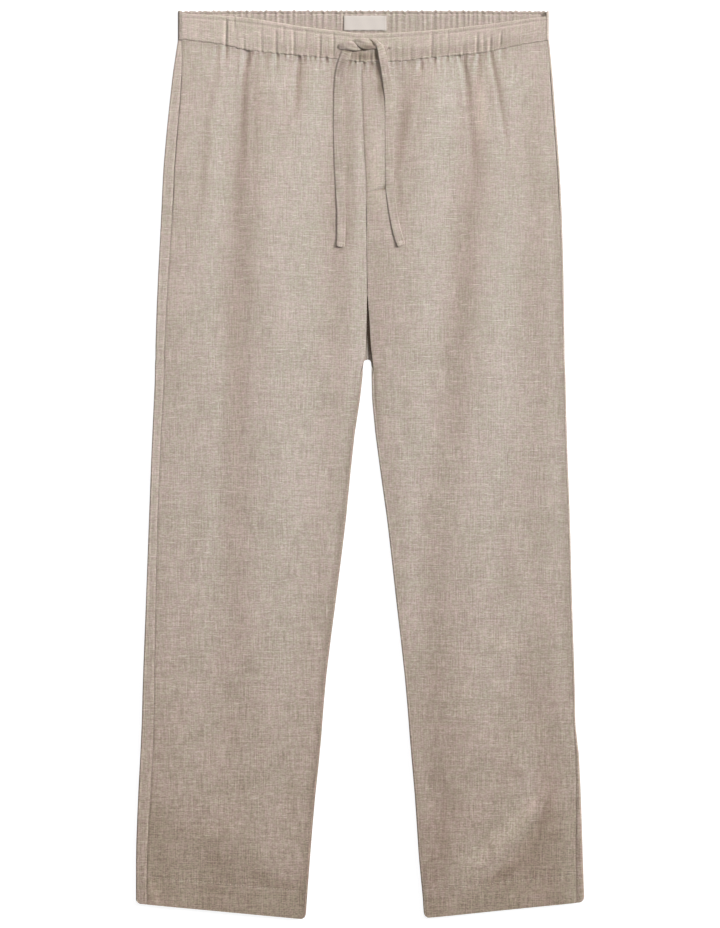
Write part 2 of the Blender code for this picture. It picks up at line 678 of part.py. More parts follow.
def front_gather_rows(side, crests):
    """Rows just under the waist seam, with a column for each gather of the waistband."""
    inner_x = inner_edge_x(side, CENTRE[0][0])
    outer_x = side_seam_x(side, OUTLINE[0][0])
    low, high = sorted((inner_x, outer_x))
    places = [crest for crest in crests if low + EDGE_MARGIN < crest[0] < high - EDGE_MARGIN]
    if side == "right":
        plain = np.linspace(low, places[0][0] - PLAIN_MARGIN, 7)
        places = [(x, 0.0) for x in plain] + places + [(high, 0.0)]
    else:
        plain = np.linspace(places[-1][0] + PLAIN_MARGIN, high, 6)
        places = [(low, 0.0)] + places + [(x, 0.0) for x in plain]
    if side == "right":
        places = places[::-1]
    span = outer_x - inner_x
    rows = []
    for depth, strength in PUCKER_ROWS:
        row = []
        for x, crest in places:
            across = (x - inner_x) / span
            y = waist_y(x) - SEAM_GAP / 2 - depth
            edge_in = inner_edge_x(side, y)
            edge_out = side_seam_x(side, y)
            inset = outward(side) * SEAM_GAP / 2
            at = edge_in + across * (edge_out - edge_in) + inset * (1.0 - 2.0 * across)
            height = front_height(side, at, y) + strength * PUCKER_DEPTH * crest
            row.append((at, y, max(height, LOWEST_FACE)))
        rows.append(row)
    return rows


def make_front(side, material, collection):
    crests = gather_crests(FRONT_GATHERS)
    fine = front_gather_rows(side, crests)
    shares = front_columns(FRONT_COLUMNS)
    down = [row_share(side, level) for level in FRONT_STATIONS] + [1.0]
    coarse = [front_row(side, share, shares) for share in down]
    outer = [point for row in fine + coarse for point in row]
    fine_count = len(fine) * len(fine[0])
    faces = grid_faces(len(fine), len(fine[0]))
    faces += grid_faces(len(coarse), len(shares), fine_count)
    upper = list(range(fine_count - len(fine[0]), fine_count))
    lower = list(range(fine_count, fine_count + len(shares)))
    reach = [outward(side) * point[0] for point in outer]
    faces += zip_faces(upper, lower, reach)
    inner = [(x, y, z - CLOTH) for x, y, z in outer]
    return wall(f"front_{side}", outer, inner, faces, material, collection)


def turned_edge(edge_x, direction, radius, turn, lap, thickness):
    """Section of a wall that lies flat, turns up round an edge and laps back over itself.

    direction is +1 where the edge faces +X. turn runs from 0, still flat, to 1, a full
    half turn. Gives (outer, inner) points (x, z) from the flat part to the lap's end.
    """
    centre_x = edge_x - direction * (radius + SHORT_LAP * (1 - turn))
    outer = []
    inner = []
    for step in range(ARC_STEPS + 1):
        angle = math.pi * turn * step / ARC_STEPS
        reach = turn * radius * math.sin(angle) + (1 - turn) * radius * step / ARC_STEPS
        rise = radius * (1 - math.cos(angle))
        outer.append((centre_x + direction * reach, rise))
        normal = (-math.sin(angle) * direction, math.cos(angle))
        inner.append((outer[-1][0] + normal[0] * thickness, rise + normal[1] * thickness))
    end_angle = math.pi * turn
    along = (math.cos(end_angle) * direction, math.sin(end_angle))
    length = max((lap - radius) * turn, SHORT_LAP)
    outer.append((outer[-1][0] + along[0] * length, outer[-1][1] + along[1] * length))
    inner.append((inner[-1][0] + along[0] * length, inner[-1][1] + along[1] * length))
    return outer, inner


def inner_turn(y):
    """How far a back panel's inner edge is turned up: 0 at the seat, 1 down the leg."""
    share = (CROTCH_BACK - y) / LAP_RAMP
    share = min(max(share, 0.0), 1.0)
    return share * share * (3 - 2 * share)


def back_row(side, share):
    """(outer, inner) points of one row of a back panel, from its inner lap to its side seam."""
    towards_out = outward(side)
    y = back_y(side, share, MID_LEG_X * towards_out)
    inner_y = y
    for _ in range(4):
        inner_y = back_y(side, share, outline(side, "inner", inner_y))
    outer_y = back_y(side, share, outline(side, "outer", y))
    turn = inner_turn(inner_y)
    inner_x = outline(side, "inner", inner_y) + towards_out * SEAM_GAP / 2 * (1 - turn)
    outer_x = outline(side, "outer", outer_y)
    lap = abs(side_seam_x(side, outer_y) - outer_x) - SEAM_GAP / 2
    near = turned_edge(inner_x, -towards_out, EDGE_RADIUS, turn, INSEAM_LAP - SEAM_GAP / 2, CLOTH)
    far = turned_edge(outer_x, towards_out, EDGE_RADIUS, 1.0, lap, CLOTH)
    floor_x = np.linspace(near[0][0][0], far[0][0][0], 5)[1:-1]
    floor = ([(x, 0.0) for x in floor_x], [(x, CLOTH) for x in floor_x])
    sections = []
    for which in (0, 1):
        flat = near[which][::-1] + floor[which] + far[which]
        sections.append([(x, back_y(side, share, x), z) for x, z in flat])
    return sections


def make_back(side, material, collection):
    stations = sorted(FRONT_STATIONS + CROTCH_STATIONS, reverse=True)
    shares = [row_share(side, level) for level in stations]
    shares = [0.0, *shares, 1.0]
    rows = [back_row(side, share) for share in shares]
    outer = [point for row in rows for point in row[0]]
    inner = [point for row in rows for point in row[1]]
    faces = grid_faces(len(rows), len(rows[0][0]))
    return wall(f"back_{side}", outer, inner, faces, material, collection)


def band_crease(x):
    return sum(depth * bump(x - place, BAND_CREASE_WIDTH) for place, depth in BAND_CREASES)


def make_band_front(material, collection):
    """The front waistband: a gathered wall whose top edge rounds down to the inside."""
    crests = gather_crests(FRONT_GATHERS)
    low = BAND_ENDS[0] + BAND_LAP + SEAM_GAP
    high = BAND_ENDS[1] - BAND_EDGE_RADIUS - SHORT_LAP - SEAM_GAP
    columns = [(x, 0.0) for x in np.linspace(low, crests[0][0] - PLAIN_MARGIN, 6)]
    columns += crests
    columns += [(x, 0.0) for x in np.linspace(crests[-1][0] + PLAIN_MARGIN, high, 5)]
    outer = []
    inner = []
    for measured_from, distance, drop in BAND_SECTION:
        for x, crest in columns:
            bottom = waist_y(x) + SEAM_GAP / 2
            top = smooth_curve(BAND_TOP, x)
            y = bottom + distance if measured_from == "bottom" else top - distance
            wave = GATHER_DEPTH * crest - band_crease(x)
            outer.append((x, y, BAND_UNDER + BAND_CLOTH - drop + wave))
            inner.append((x, y, BAND_UNDER + max(wave, 0.0) * INNER_WAVE))
    faces = grid_faces(len(BAND_SECTION), len(columns))
    return wall("waistband_front", outer, inner, faces, material, collection)


def make_band_back(material, collection):
    """The back waistband: flat below, gathered above, turned up at both ends."""
    crests = gather_crests(BACK_GATHERS)
    outer = []
    inner = []
    for share in BAND_BACK_LEVELS:
        section = band_back_section(crests, share == 1.0)
        for (x, z), (inner_x, inner_z) in zip(*section):
            scallop = sum(size * math.sin(waves * x + start) for size, waves, start in SCALLOPS)
            top = BAND_BACK_TOP + scallop - BAND_BACK_DROP * (x / BAND_ENDS[1]) ** 4
            bottom = back_seam_y(x) + SEAM_GAP / 2
            y = bottom + share * (top - bottom)
            outer.append((x, y, z))
            inner.append((inner_x, y, inner_z))
    faces = grid_faces(len(BAND_BACK_LEVELS), len(outer) // len(BAND_BACK_LEVELS))
    return wall("waistband_back", outer, inner, faces, material, collection)


def band_back_section(crests, top_row):
    """Outer and inner points (x, z) of the back waistband from its right end to its left."""
    radius = BAND_EDGE_RADIUS
    near = turned_edge(BAND_ENDS[0], -1.0, radius, 1.0, BAND_LAP, BAND_CLOTH)
    far = turned_edge(BAND_ENDS[1], 1.0, radius, 1.0, radius, BAND_CLOTH)
    thin = BAND_BACK_THINNING if top_row else 0.0
    inside = BAND_CLOTH - SEAM_GAP - thin
    flat_outer = [(x, thin) for x, _ in crests]
    flat_inner = [(x, inside + BACK_WAVE * GATHER_DEPTH * crest) for x, crest in crests]
    outer = near[0][::-1] + flat_outer + far[0]
    inner = near[1][::-1] + flat_inner + far[1]
    return outer, inner


def make_patch(name, centre, size, height, thickness, steps, material, collection):
    """A flat strip of cloth, an open grid given its thickness by Solidify."""
    columns, rows = steps
    points = []
    for row in range(rows):
        for col in range(columns):
            x = centre[0] + size[0] * (col / (columns - 1) - 0.5)
            y = centre[1] + size[1] * (row / (rows - 1) - 0.5)
            points.append((x, y, height))
    mesh = bpy.data.meshes.new(name)
    mesh.from_pydata(points, [], grid_faces(rows, columns))
    mesh.update()
    mesh.materials.append(material)
    obj = bpy.data.objects.new(name, mesh)
    collection.objects.link(obj)
    solid = obj.modifiers.new("cloth", "SOLIDIFY")
    solid.thickness = thickness
    solid.offset = 1.0
    return obj


def make_facing(side, material, collection):
    """The strip behind a pocket's opening, between the back panel and the front."""
    bottom, top = POCKET_Y
    points = []
    for y in np.linspace(bottom, top, 6):
        seam = side_seam_x(side, y)
        for inset in (FACING_START[side], FACING_WIDTH):
            points.append((seam - outward(side) * inset, float(y), CLOTH + SEAM_GAP))
    outer = [(x, y, z + FACING_CLOTH) for x, y, z in points]
    return wall(f"pocket_facing_{side}", outer, points, grid_faces(6, 2), material, collection)


def surface_finder(objects):
    """The upper surface of several pieces, as a function of x and y."""
    trees = []
    for obj in objects:
        mesh = obj.data
        points = [vertex.co.copy() for vertex in mesh.vertices]
        polygons = [tuple(polygon.vertices) for polygon in mesh.polygons]
        trees.append(BVHTree.FromPolygons(points, polygons))

    def height(x, y):
        found = [0.0]
        for tree in trees:
            hit = tree.ray_cast(Vector((x, y, 0.05)), Vector((0.0, 0.0, -1.0)))
            if hit[0] is not None:
                found.append(hit[0].z)
        return max(found)

    return height


def smooth_route(rows, spacing):
    """Rows (x, y, raised, width) at an even spacing along a smooth curve through the table's."""
    rows = np.array(rows)
    steps = np.linalg.norm(np.diff(rows[:, :2], axis=0), axis=1)
    along = np.concatenate([[0.0], np.cumsum(steps)])
    count = int(round(along[-1] / spacing)) + 1
    places = np.linspace(0.0, along[-1], count)
    curves = []
    for i in range(len(DRAWSTRING_COLUMNS)):
        points = list(zip(along, rows[:, i]))
        curves.append([smooth_curve(points, at) for at in places])
    return np.array(curves).T


def make_drawstring(side, surface, material, collection):
    """One free end of the drawstring: a flat tape laid on the cloth along its route."""
    route = smooth_route(DRAWSTRING[side], TAPE_STEP)
    ways = np.gradient(route[:, :2], axis=0)
    ways /= np.linalg.norm(ways, axis=1)[:, None]
    top = []
    bottom = []
    for (x, y, raised, width), (along_x, along_y) in zip(route, ways):
        across = (-along_y * width, along_x * width)
        under = 0.0
        for share in (-0.5, -0.25, 0.0, 0.25, 0.5):
            for ahead in (-TAPE_REACH, 0.0, TAPE_REACH):
                at_x = x + share * across[0] + ahead * along_x
                at_y = y + share * across[1] + ahead * along_y
                under = max(under, surface(at_x, at_y))
        base = under + TAPE_LIFT + raised
        for share, crown in ((-0.5, TAPE_CROWN), (0.0, 0.0), (0.5, TAPE_CROWN)):
            place = (x + share * across[0], y + share * across[1])
            top.append((*place, base + TAPE_CLOTH - crown))
            bottom.append((*place, base + crown))
    return wall(f"drawstring_{side}", top, bottom, grid_faces(len(route), 3), material, collection)


def main():
    clear_scene()
    collection = new_collection(COLLECTION)
    band = new_material("linen_band", LINEN_BAND, 0.92)
    inside = new_material("linen_inside", LINEN_INSIDE, 0.92)
    tape = new_material("linen_tape", LINEN_TAPE, 0.90)
    cream = new_material("label_cream", LABEL_CREAM, 0.85)
    fronts = []
    for side in ("right", "left"):
        make_back(side, new_material(f"linen_back_{side}", LINEN_INSIDE, 0.92), collection)
        linen = new_material(f"linen_front_{side}", LINEN, 0.92)
        fronts.append(make_front(side, linen, collection))
        make_facing(side, inside, collection)
    band_front = make_band_front(band, collection)
    make_band_back(inside, collection)
    label_height = BAND_CLOTH + SEAM_GAP
    make_patch("label", LABEL_CENTRE, LABEL_SIZE, label_height, LABEL_CLOTH, (5, 3), cream, collection)
    surface = surface_finder([*fronts, band_front])
    for side in ("right", "left"):
        make_drawstring(side, surface, tape, collection)


main()
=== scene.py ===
"""Linen drawstring trousers laid flat: cloth, sewing, drawstring, label and studio.

Metres, +Z up, +Y towards the waist. "Right" and "left" are the wearer's, so the
right leg lies at -X. The outlines and the main folds are read from the frame, and
each sheet of cloth is a thin shell on its solid's form with finer creases of its own.
"""

import math

import bpy
import numpy as np
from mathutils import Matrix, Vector
from mathutils.bvhtree import BVHTree


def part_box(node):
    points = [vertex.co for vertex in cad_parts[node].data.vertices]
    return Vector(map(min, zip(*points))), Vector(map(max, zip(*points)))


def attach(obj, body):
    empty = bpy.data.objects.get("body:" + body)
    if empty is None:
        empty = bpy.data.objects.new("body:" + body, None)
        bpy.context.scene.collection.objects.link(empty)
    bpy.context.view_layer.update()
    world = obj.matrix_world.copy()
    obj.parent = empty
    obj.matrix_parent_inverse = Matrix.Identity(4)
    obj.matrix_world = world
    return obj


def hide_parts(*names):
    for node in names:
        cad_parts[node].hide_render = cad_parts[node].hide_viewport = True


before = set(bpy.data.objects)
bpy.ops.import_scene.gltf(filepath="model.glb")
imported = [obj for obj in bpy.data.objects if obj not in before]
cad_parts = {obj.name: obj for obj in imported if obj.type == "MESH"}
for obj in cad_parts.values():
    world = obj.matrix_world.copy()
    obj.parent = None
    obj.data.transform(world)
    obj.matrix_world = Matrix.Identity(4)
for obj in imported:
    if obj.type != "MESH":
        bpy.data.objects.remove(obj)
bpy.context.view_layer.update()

bl_info = {
    "name": "Linen drawstring trousers",
    "version": (1, 0, 0),
    "blender": (4, 5, 0),
    "location": "View3D > Sidebar > Trousers",
    "description": "Dresses the trousers' frame in linen, sewing and a drawstring",
    "category": "Object",
}

BODY = "root"
SIDES = ("right", "left")
OUT = {"right": -1.0, "left": 1.0}  # the way along X from the middle to a leg's outer edge
SEAM_GAP = 0.0003  # between two of the frame's pieces that are sewn together
TIGHT_SHARE = 0.35  # how much of that gap each side of the waist seam closes
WAIST_WAVE = 0.0003  # how far the gathers draw the waist seam up and down
EDGE_RADIUS = 0.0022  # where a back panel turns up round a leg's edge
BAND_RADIUS = 0.0026  # the same for the waistband
BAND_CLOTH = 0.0022  # whole thickness of the waistband
BAND_UNDER = 0.0031  # underside of the front waistband
BAND_HEIGHT = 0.0363  # of the front waistband
BACK_BAND_HEIGHT = 0.0350  # of the back one, as its cloth is laid out
BAND_LAP = 0.0047  # how far the back waistband laps over at its right end
BAND_ENDS = (-0.2145, 0.2229)  # outer edges of the waistband
SHORT_LAP = 0.0002  # least length of cloth past the turn round an edge
SCREEN_GAMMA = 2.2  # power that turns a tone on a screen into one of a colour
FLY_LIFT = (  # y, and how much the right front is lifted to the lap's height there
    (0.2900, 0.0), (0.3020, 0.0006), (0.3180, 0.0009), (0.3350, 0.0006), (0.3500, 0.00045))
CROTCH_BACK = 0.1290  # y where the backs' seat seam ends
SEAT_GROOVE = 0.0004  # depth of the groove along that seam on the underside
CROTCH_OPENING = 0.1232  # y where the gap between the legs starts
LAP_RAMP = 0.0240  # below it the backs' inner edges turn up over this height
INSEAM_LAP = 0.0028  # how far in from the inner leg's edge the inseam lies
LEG_MIDDLE = 0.1200  # about how far from x = 0 the middle of a leg lies
HEM_ROUNDING = 0.0062  # of the hem's corners
HEM_DEPTH = 0.0330  # from the hem's edge up to its stitching
HEM_ENDS = {  # (x, y) of each hem's outer and inner corner
    "right": ((-0.2640, -0.5174), (-0.0638, -0.5362)),
    "left": ((0.2646, -0.5157), (0.0758, -0.5347)),
}
# Painted shade of a fold above each front's hem.
HEM_ZONES = {  # a point and the rise of the line under which a front's hem is darker
    "right": (-0.2475, -0.4018, -0.487),
    "left": (0.2186, -0.4136, 0.857),
}
# Painted shadow in a back's crotch, seen between the fronts.
CROTCH_START = {"right": 0.1300, "left": 0.1120}  # y from which a back's crotch is darker
POCKET_Y = (0.2979, 0.4620)  # lower and upper end of a pocket's opening
POCKET_GAPE = 0.0005  # how far the front's edge stands off there
ROW_INSET = 0.0058  # from a pocket's opening, or the waistband's top edge, to its stitches
SEAM_GROOVE_WIDTH = 0.0014  # half width of the groove beside a seam
LABEL_CLOTH = 0.0004  # thickness of the label
THIN_LAP = 0.00015  # thickness of the cloth at the very edge of the fly's lap
SIDE_SEAMS = 0.030  # cloth in a leg panel's two long seams
END_SEAMS = 0.045  # cloth in its hem and its waist seam
SEAMS_AREA = 0.030  # all of that in square metres
HOLES = ((-0.0235, 0.4925), (0.0330, 0.4905))  # where the drawstring leaves the waistband

# Fine creases of each front. Each point of a crease's line has its x, y, height and half width.
CREASES = {
    "right": {
        "under_band_crease": (
            (-0.1578, 0.4960, -0.0013, 0.0035), (-0.1584, 0.4800, -0.0008, 0.0060),
            (-0.1600, 0.4620, 0.0, 0.0090)),
        "seam_tuck": (
            (-0.1290, 0.4880, -0.0012, 0.0040), (-0.1330, 0.4790, -0.0012, 0.0060),
            (-0.1360, 0.4640, 0.0, 0.0080)),
        "trough_line": (
            (-0.1345, 0.4860, -0.0010, 0.0050), (-0.1375, 0.4500, -0.0008, 0.0075),
            (-0.1395, 0.4000, -0.0007, 0.0085), (-0.1420, 0.3300, 0.0, 0.0090)),
        "trough_ridge": (
            (-0.1325, 0.4700, 0.0, 0.0080), (-0.1322, 0.4300, 0.0005, 0.0090),
            (-0.1325, 0.3600, 0.0005, 0.0095), (-0.1340, 0.2800, 0.0, 0.0095)),
        "outer_pucker": (
            (-0.1680, 0.4900, -0.0007, 0.0050), (-0.1700, 0.4700, -0.0005, 0.0070),
            (-0.1730, 0.4400, 0.0, 0.0080)),
        "second_tuck": (
            (-0.1130, 0.4850, -0.0007, 0.0030), (-0.1120, 0.4740, -0.0005, 0.0045),
            (-0.1110, 0.4600, 0.0, 0.0050)),
        "third_tuck": (
            (-0.0975, 0.4830, -0.0009, 0.0032), (-0.0980, 0.4720, -0.0006, 0.0045),
            (-0.0985, 0.4560, 0.0, 0.0055)),
        "short_line": (
            (-0.0715, 0.4800, -0.0012, 0.0038), (-0.0740, 0.4600, -0.0009, 0.0060),
            (-0.0765, 0.4300, -0.0006, 0.0075), (-0.0785, 0.3950, 0.0, 0.0080)),
        "knee_wrinkle": (
            (-0.1180, 0.0420, 0.0, 0.0060), (-0.1300, 0.0330, -0.0003, 0.0070),
            (-0.1450, 0.0290, 0.0, 0.0060)),
        "side_wrinkle": (
            (-0.2250, -0.1850, 0.0, 0.0070), (-0.2120, -0.1900, -0.0003, 0.0080),
            (-0.1980, -0.1980, 0.0, 0.0070)),
        "shin_wrinkle": (
            (-0.1650, -0.1750, 0.0, 0.0080), (-0.1440, -0.1860, -0.0004, 0.0090),
            (-0.1250, -0.1820, 0.0, 0.0080)),
    },
    "left": {
        "fly_stitch": (
            (0.0065, 0.3203, -0.0003, 0.0018), (0.0170, 0.3226, -0.0005, 0.0020),
            (0.0290, 0.3256, -0.0010, 0.0024), (0.0320, 0.3270, 0.0, 0.0024)),
        "beside_drawstring": (
            (0.0780, 0.4720, 0.0, 0.0080), (0.0616, 0.4183, 0.0006, 0.0100),
            (0.0522, 0.3711, 0.0006, 0.0100), (0.0470, 0.3100, 0.0, 0.0100)),
        "high_ridge": (
            (0.1280, 0.4520, 0.0, 0.0090), (0.1289, 0.4300, 0.0007, 0.0095),
            (0.1292, 0.4020, 0.0007, 0.0095), (0.1300, 0.3800, 0.0, 0.0090)),
        "fly_tuck": (
            (0.0755, 0.4790, -0.0015, 0.0032), (0.0720, 0.4710, -0.0014, 0.0042),
            (0.0690, 0.4600, 0.0, 0.0050)),
        "inner_tuck": (
            (0.0560, 0.4770, -0.0008, 0.0028), (0.0540, 0.4690, 0.0, 0.0040)),
        "trough_line": (
            (0.1180, 0.4850, -0.0010, 0.0045), (0.1240, 0.4600, -0.0010, 0.0060),
            (0.1280, 0.4200, -0.0008, 0.0080), (0.1320, 0.3600, -0.0006, 0.0090),
            (0.1310, 0.3000, 0.0, 0.0100)),
        "deep_tuck": (
            (0.1420, 0.4890, -0.0014, 0.0036), (0.1395, 0.4760, -0.0013, 0.0052),
            (0.1380, 0.4600, -0.0006, 0.0070), (0.1380, 0.4400, 0.0, 0.0080)),
        "thin_line": (
            (0.1530, 0.4880, -0.0010, 0.0032), (0.1557, 0.4720, -0.0008, 0.0044),
            (0.1625, 0.4400, -0.0006, 0.0052), (0.1690, 0.3990, -0.0005, 0.0056),
            (0.1725, 0.3600, 0.0, 0.0060)),
        "side_tuck": (
            (0.1690, 0.4950, -0.0009, 0.0035), (0.1680, 0.4820, -0.0005, 0.0055),
            (0.1680, 0.4650, 0.0, 0.0060)),
        "shin_line": (
            (0.2230, -0.3900, 0.0, 0.0080), (0.2080, -0.4250, -0.0008, 0.0110),
            (0.1800, -0.4620, -0.0006, 0.0120), (0.1500, -0.4850, 0.0, 0.0100)),
        "knee_wrinkle": (
            (0.1990, -0.2250, 0.0, 0.0080), (0.1830, -0.2480, -0.0006, 0.0100),
            (0.1660, -0.2780, 0.0, 0.0080)),
        "inseam_wrinkle": (
            (0.0960, -0.3780, 0.0, 0.0060), (0.0975, -0.4010, -0.0005, 0.0070),
            (0.0940, -0.4400, 0.0, 0.0060)),
    },
}

# Painted light and shade on each front: soft lighter and darker places that stand in for the light and
# shade on its folds and the drawstring's shadow. Each point of a place's line has its x, y, tone and half
# width.
FRONT_PAINTED_SHADING = {
    "right": {
        "fold_shade": (
            (-0.1425, 0.4702, 0.0, 0.0060), (-0.1437, 0.4183, -0.06, 0.0060),
            (-0.1448, 0.3357, -0.05, 0.0060), (-0.1460, 0.2826, 0.0, 0.0060)),
        "side_line": (
            (-0.1708, 0.4726, 0.0, 0.0060), (-0.1779, 0.4065, -0.05, 0.0060),
            (-0.1850, 0.3239, -0.05, 0.0060), (-0.1920, 0.2590, 0.0, 0.0060)),
        "thigh": (
            (-0.1035, 0.4490, 0.0, 0.0120), (-0.1024, 0.4242, -0.05, 0.0120),
            (-0.1000, 0.3829, 0.0, 0.0120)),
        "short_line": (
            (-0.0729, 0.4702, 0.0, 0.0050), (-0.0740, 0.4419, -0.04, 0.0050),
            (-0.0776, 0.4006, 0.0, 0.0050)),
        "beside_drawstring": (
            (-0.0115, 0.4726, -0.05, 0.0100), (-0.0091, 0.3829, -0.07, 0.0100),
            (-0.0091, 0.2826, -0.08, 0.0100), (-0.0115, 0.2390, 0.0, 0.0100)),
        "tail_side": (
            (-0.0150, 0.3400, 0.0, 0.0040), (-0.0155, 0.3050, -0.07, 0.0045),
            (-0.0165, 0.2700, -0.09, 0.0045), (-0.0180, 0.2560, -0.07, 0.0040)),
        "below_drawstring": (
            (-0.0221, 0.2543, -0.10, 0.0050), (-0.0209, 0.2437, 0.0, 0.0060)),
        "above_hem": (
            (-0.2121, -0.4384, 0.0, 0.0120), (-0.1920, -0.4337, 0.06, 0.0150),
            (-0.1555, -0.4278, 0.06, 0.0150), (-0.1236, -0.4384, 0.0, 0.0120)),
        "outer_shade": (
            (-0.2520, -0.3600, 0.0, 0.0120), (-0.2530, -0.3950, -0.04, 0.0120),
            (-0.2540, -0.4450, -0.04, 0.0120), (-0.2540, -0.4700, 0.0, 0.0120)),
        "fold_depth": (
            (-0.1448, 0.2400, 0.0, 0.0100), (-0.1450, 0.1900, 0.03, 0.0110),
            (-0.1460, 0.0000, 0.03, 0.0120), (-0.1470, -0.1500, 0.0, 0.0120)),
        "fold_outer_side": (
            (-0.1800, 0.2400, 0.0, 0.0180), (-0.1820, 0.1900, -0.02, 0.0200),
            (-0.1880, -0.0800, -0.03, 0.0200), (-0.1900, -0.1500, 0.0, 0.0200)),
        "fold_inner_side": (
            (-0.1080, 0.2400, 0.0, 0.0180), (-0.1070, 0.1900, -0.02, 0.0200),
            (-0.1060, -0.0800, -0.025, 0.0200), (-0.1050, -0.1500, 0.0, 0.0200)),
        "drawstring_shade": (
            (-0.0198, 0.4726, -0.20, 0.0036), (-0.0204, 0.4584, -0.20, 0.0036),
            (-0.0209, 0.4395, 0.0, 0.0034)),
        "knot_shade": (
            (-0.0060, 0.4790, -0.10, 0.0080), (-0.0060, 0.4690, -0.04, 0.0080),
            (-0.0050, 0.4580, 0.0, 0.0080)),
        "hem_corner": (
            (-0.2499, -0.4856, 0.0, 0.0100), (-0.2428, -0.4974, 0.09, 0.0110),
            (-0.2381, -0.5103, 0.08, 0.0100)),
        "hem_middle": (
            (-0.2003, -0.5103, 0.0, 0.0070), (-0.1708, -0.5080, 0.04, 0.0070),
            (-0.1354, -0.5103, 0.0, 0.0070)),
        "hem_shade": (
            (-0.1413, -0.4761, 0.0, 0.0110), (-0.1153, -0.4856, -0.06, 0.0120),
            (-0.0858, -0.4962, -0.08, 0.0120), (-0.0705, -0.4903, 0.0, 0.0100)),
        "hem_spot": (
            (-0.2168, -0.4691, -0.04, 0.0100), (-0.2074, -0.4714, 0.0, 0.0100)),
    },
    "left": {
        "fly": (
            (0.0145, 0.4490, -0.02, 0.0120), (0.0168, 0.4065, 0.01, 0.0130),
            (0.0192, 0.3239, 0.07, 0.0120), (0.0192, 0.2909, 0.0, 0.0100)),
        "drawstring_shade": (
            (0.0185, 0.4770, -0.10, 0.0070), (0.0213, 0.4640, -0.30, 0.0060),
            (0.0235, 0.4540, -0.18, 0.0050), (0.0247, 0.4430, -0.28, 0.0060),
            (0.0263, 0.4277, -0.12, 0.0055), (0.0274, 0.4060, 0.0, 0.0050)),
        "knot_shade": (
            (0.0080, 0.4780, -0.08, 0.0080), (0.0080, 0.4690, -0.04, 0.0080),
            (0.0080, 0.4580, 0.0, 0.0080)),
        "thigh": (
            (0.0880, 0.3300, 0.0, 0.0150), (0.0876, 0.2900, -0.025, 0.0160),
            (0.0876, 0.2200, -0.025, 0.0160), (0.0870, 0.1700, 0.0, 0.0150)),
        "stitch_shade": (
            (0.0065, 0.3200, -0.06, 0.0024), (0.0170, 0.3222, -0.08, 0.0024),
            (0.0290, 0.3252, -0.20, 0.0030), (0.0310, 0.3262, 0.0, 0.0026)),
        "beside_drawstring": (
            (0.0499, 0.4537, 0.0, 0.0090), (0.0463, 0.4065, -0.05, 0.0100),
            (0.0475, 0.3121, -0.05, 0.0090), (0.0546, 0.2649, 0.0, 0.0080)),
        "high_patch": (
            (0.1395, 0.4608, 0.0, 0.0100), (0.1419, 0.4348, 0.09, 0.0110),
            (0.1431, 0.4042, 0.10, 0.0110), (0.1419, 0.3711, 0.0, 0.0100)),
        "knee": (
            (0.1584, -0.0600, 0.0, 0.0160), (0.1700, -0.0980, -0.05, 0.0190),
            (0.1790, -0.1340, -0.06, 0.0200), (0.1720, -0.1700, 0.0, 0.0180)),
        "inner_knee": (
            (0.0617, -0.1552, 0.0, 0.0120), (0.0805, -0.1776, -0.04, 0.0130),
            (0.1018, -0.1953, 0.0, 0.0120)),
        "shin_light": (
            (0.1490, -0.2071, 0.04, 0.0150), (0.1773, -0.2094, 0.05, 0.0160),
            (0.2009, -0.2189, 0.0, 0.0120)),
        "low_shin_light": (
            (0.1018, -0.2708, 0.0, 0.0120), (0.1207, -0.2661, 0.05, 0.0140),
            (0.1490, -0.2590, 0.0, 0.0120)),
        "outer_light": (
            (0.2103, -0.2921, 0.0, 0.0110), (0.2139, -0.3109, 0.06, 0.0120),
            (0.2103, -0.3345, 0.0, 0.0110)),
        "shin_spot": (
            (0.1655, -0.2779, -0.05, 0.0090), (0.1773, -0.2779, -0.06, 0.0090)),
        "second_spot": (
            (0.1773, -0.3109, -0.06, 0.0080), (0.1891, -0.3098, -0.05, 0.0080)),
        "shin_shade": (
            (0.1089, -0.3275, 0.0, 0.0120), (0.1325, -0.3204, -0.05, 0.0130),
            (0.1537, -0.3298, 0.0, 0.0110)),
        "low_spot": (
            (0.1631, -0.3511, -0.03, 0.0100), (0.1797, -0.3581, -0.05, 0.0100),
            (0.1938, -0.3652, -0.06, 0.0090)),
        "stripe_light": (
            (0.2316, -0.3770, 0.0, 0.0120), (0.2200, -0.3912, 0.04, 0.0160),
            (0.1940, -0.4090, 0.07, 0.0200), (0.1590, -0.4460, 0.075, 0.0210),
            (0.1260, -0.4760, 0.05, 0.0170), (0.1089, -0.4950, 0.0, 0.0130)),
        "stripe_side": (
            (0.2257, -0.3959, 0.02, 0.0080), (0.2280, -0.4219, 0.05, 0.0090),
            (0.2245, -0.4502, 0.0, 0.0090)),
        "stripe_shade": (
            (0.2139, -0.4407, 0.0, 0.0090), (0.2056, -0.4596, -0.05, 0.0100),
            (0.1832, -0.4750, -0.07, 0.0100), (0.1608, -0.4879, -0.12, 0.0110),
            (0.1372, -0.5021, 0.0, 0.0090)),
        "inner_hem": (
            (0.0900, -0.3770, 0.0, 0.0100), (0.0923, -0.4030, -0.04, 0.0100),
            (0.1006, -0.4525, -0.06, 0.0110), (0.0959, -0.4856, 0.0, 0.0100)),
        "hem_light": (
            (0.1726, -0.5103, 0.0, 0.0080), (0.1950, -0.5056, 0.05, 0.0080),
            (0.2221, -0.5009, 0.05, 0.0080), (0.2434, -0.4997, 0.0, 0.0070)),
        "hem_corner": (
            (0.0805, -0.5222, 0.04, 0.0090), (0.1041, -0.5174, 0.04, 0.0090),
            (0.1207, -0.5139, 0.0, 0.0080)),
    },
}
# Painted shade along some of the fronts' edges.
EDGE_PAINTED_SHADE = (  # front, its edge, tone there, how far in it reaches, and from and to which y
    ("left", "outer", -0.08, 0.0080, -0.3200, 0.3700),
    ("right", "inner", -0.12, 0.0050, -0.5600, 0.1150),
    ("left", "inner", -0.14, 0.0040, 0.0200, 0.1500),
)
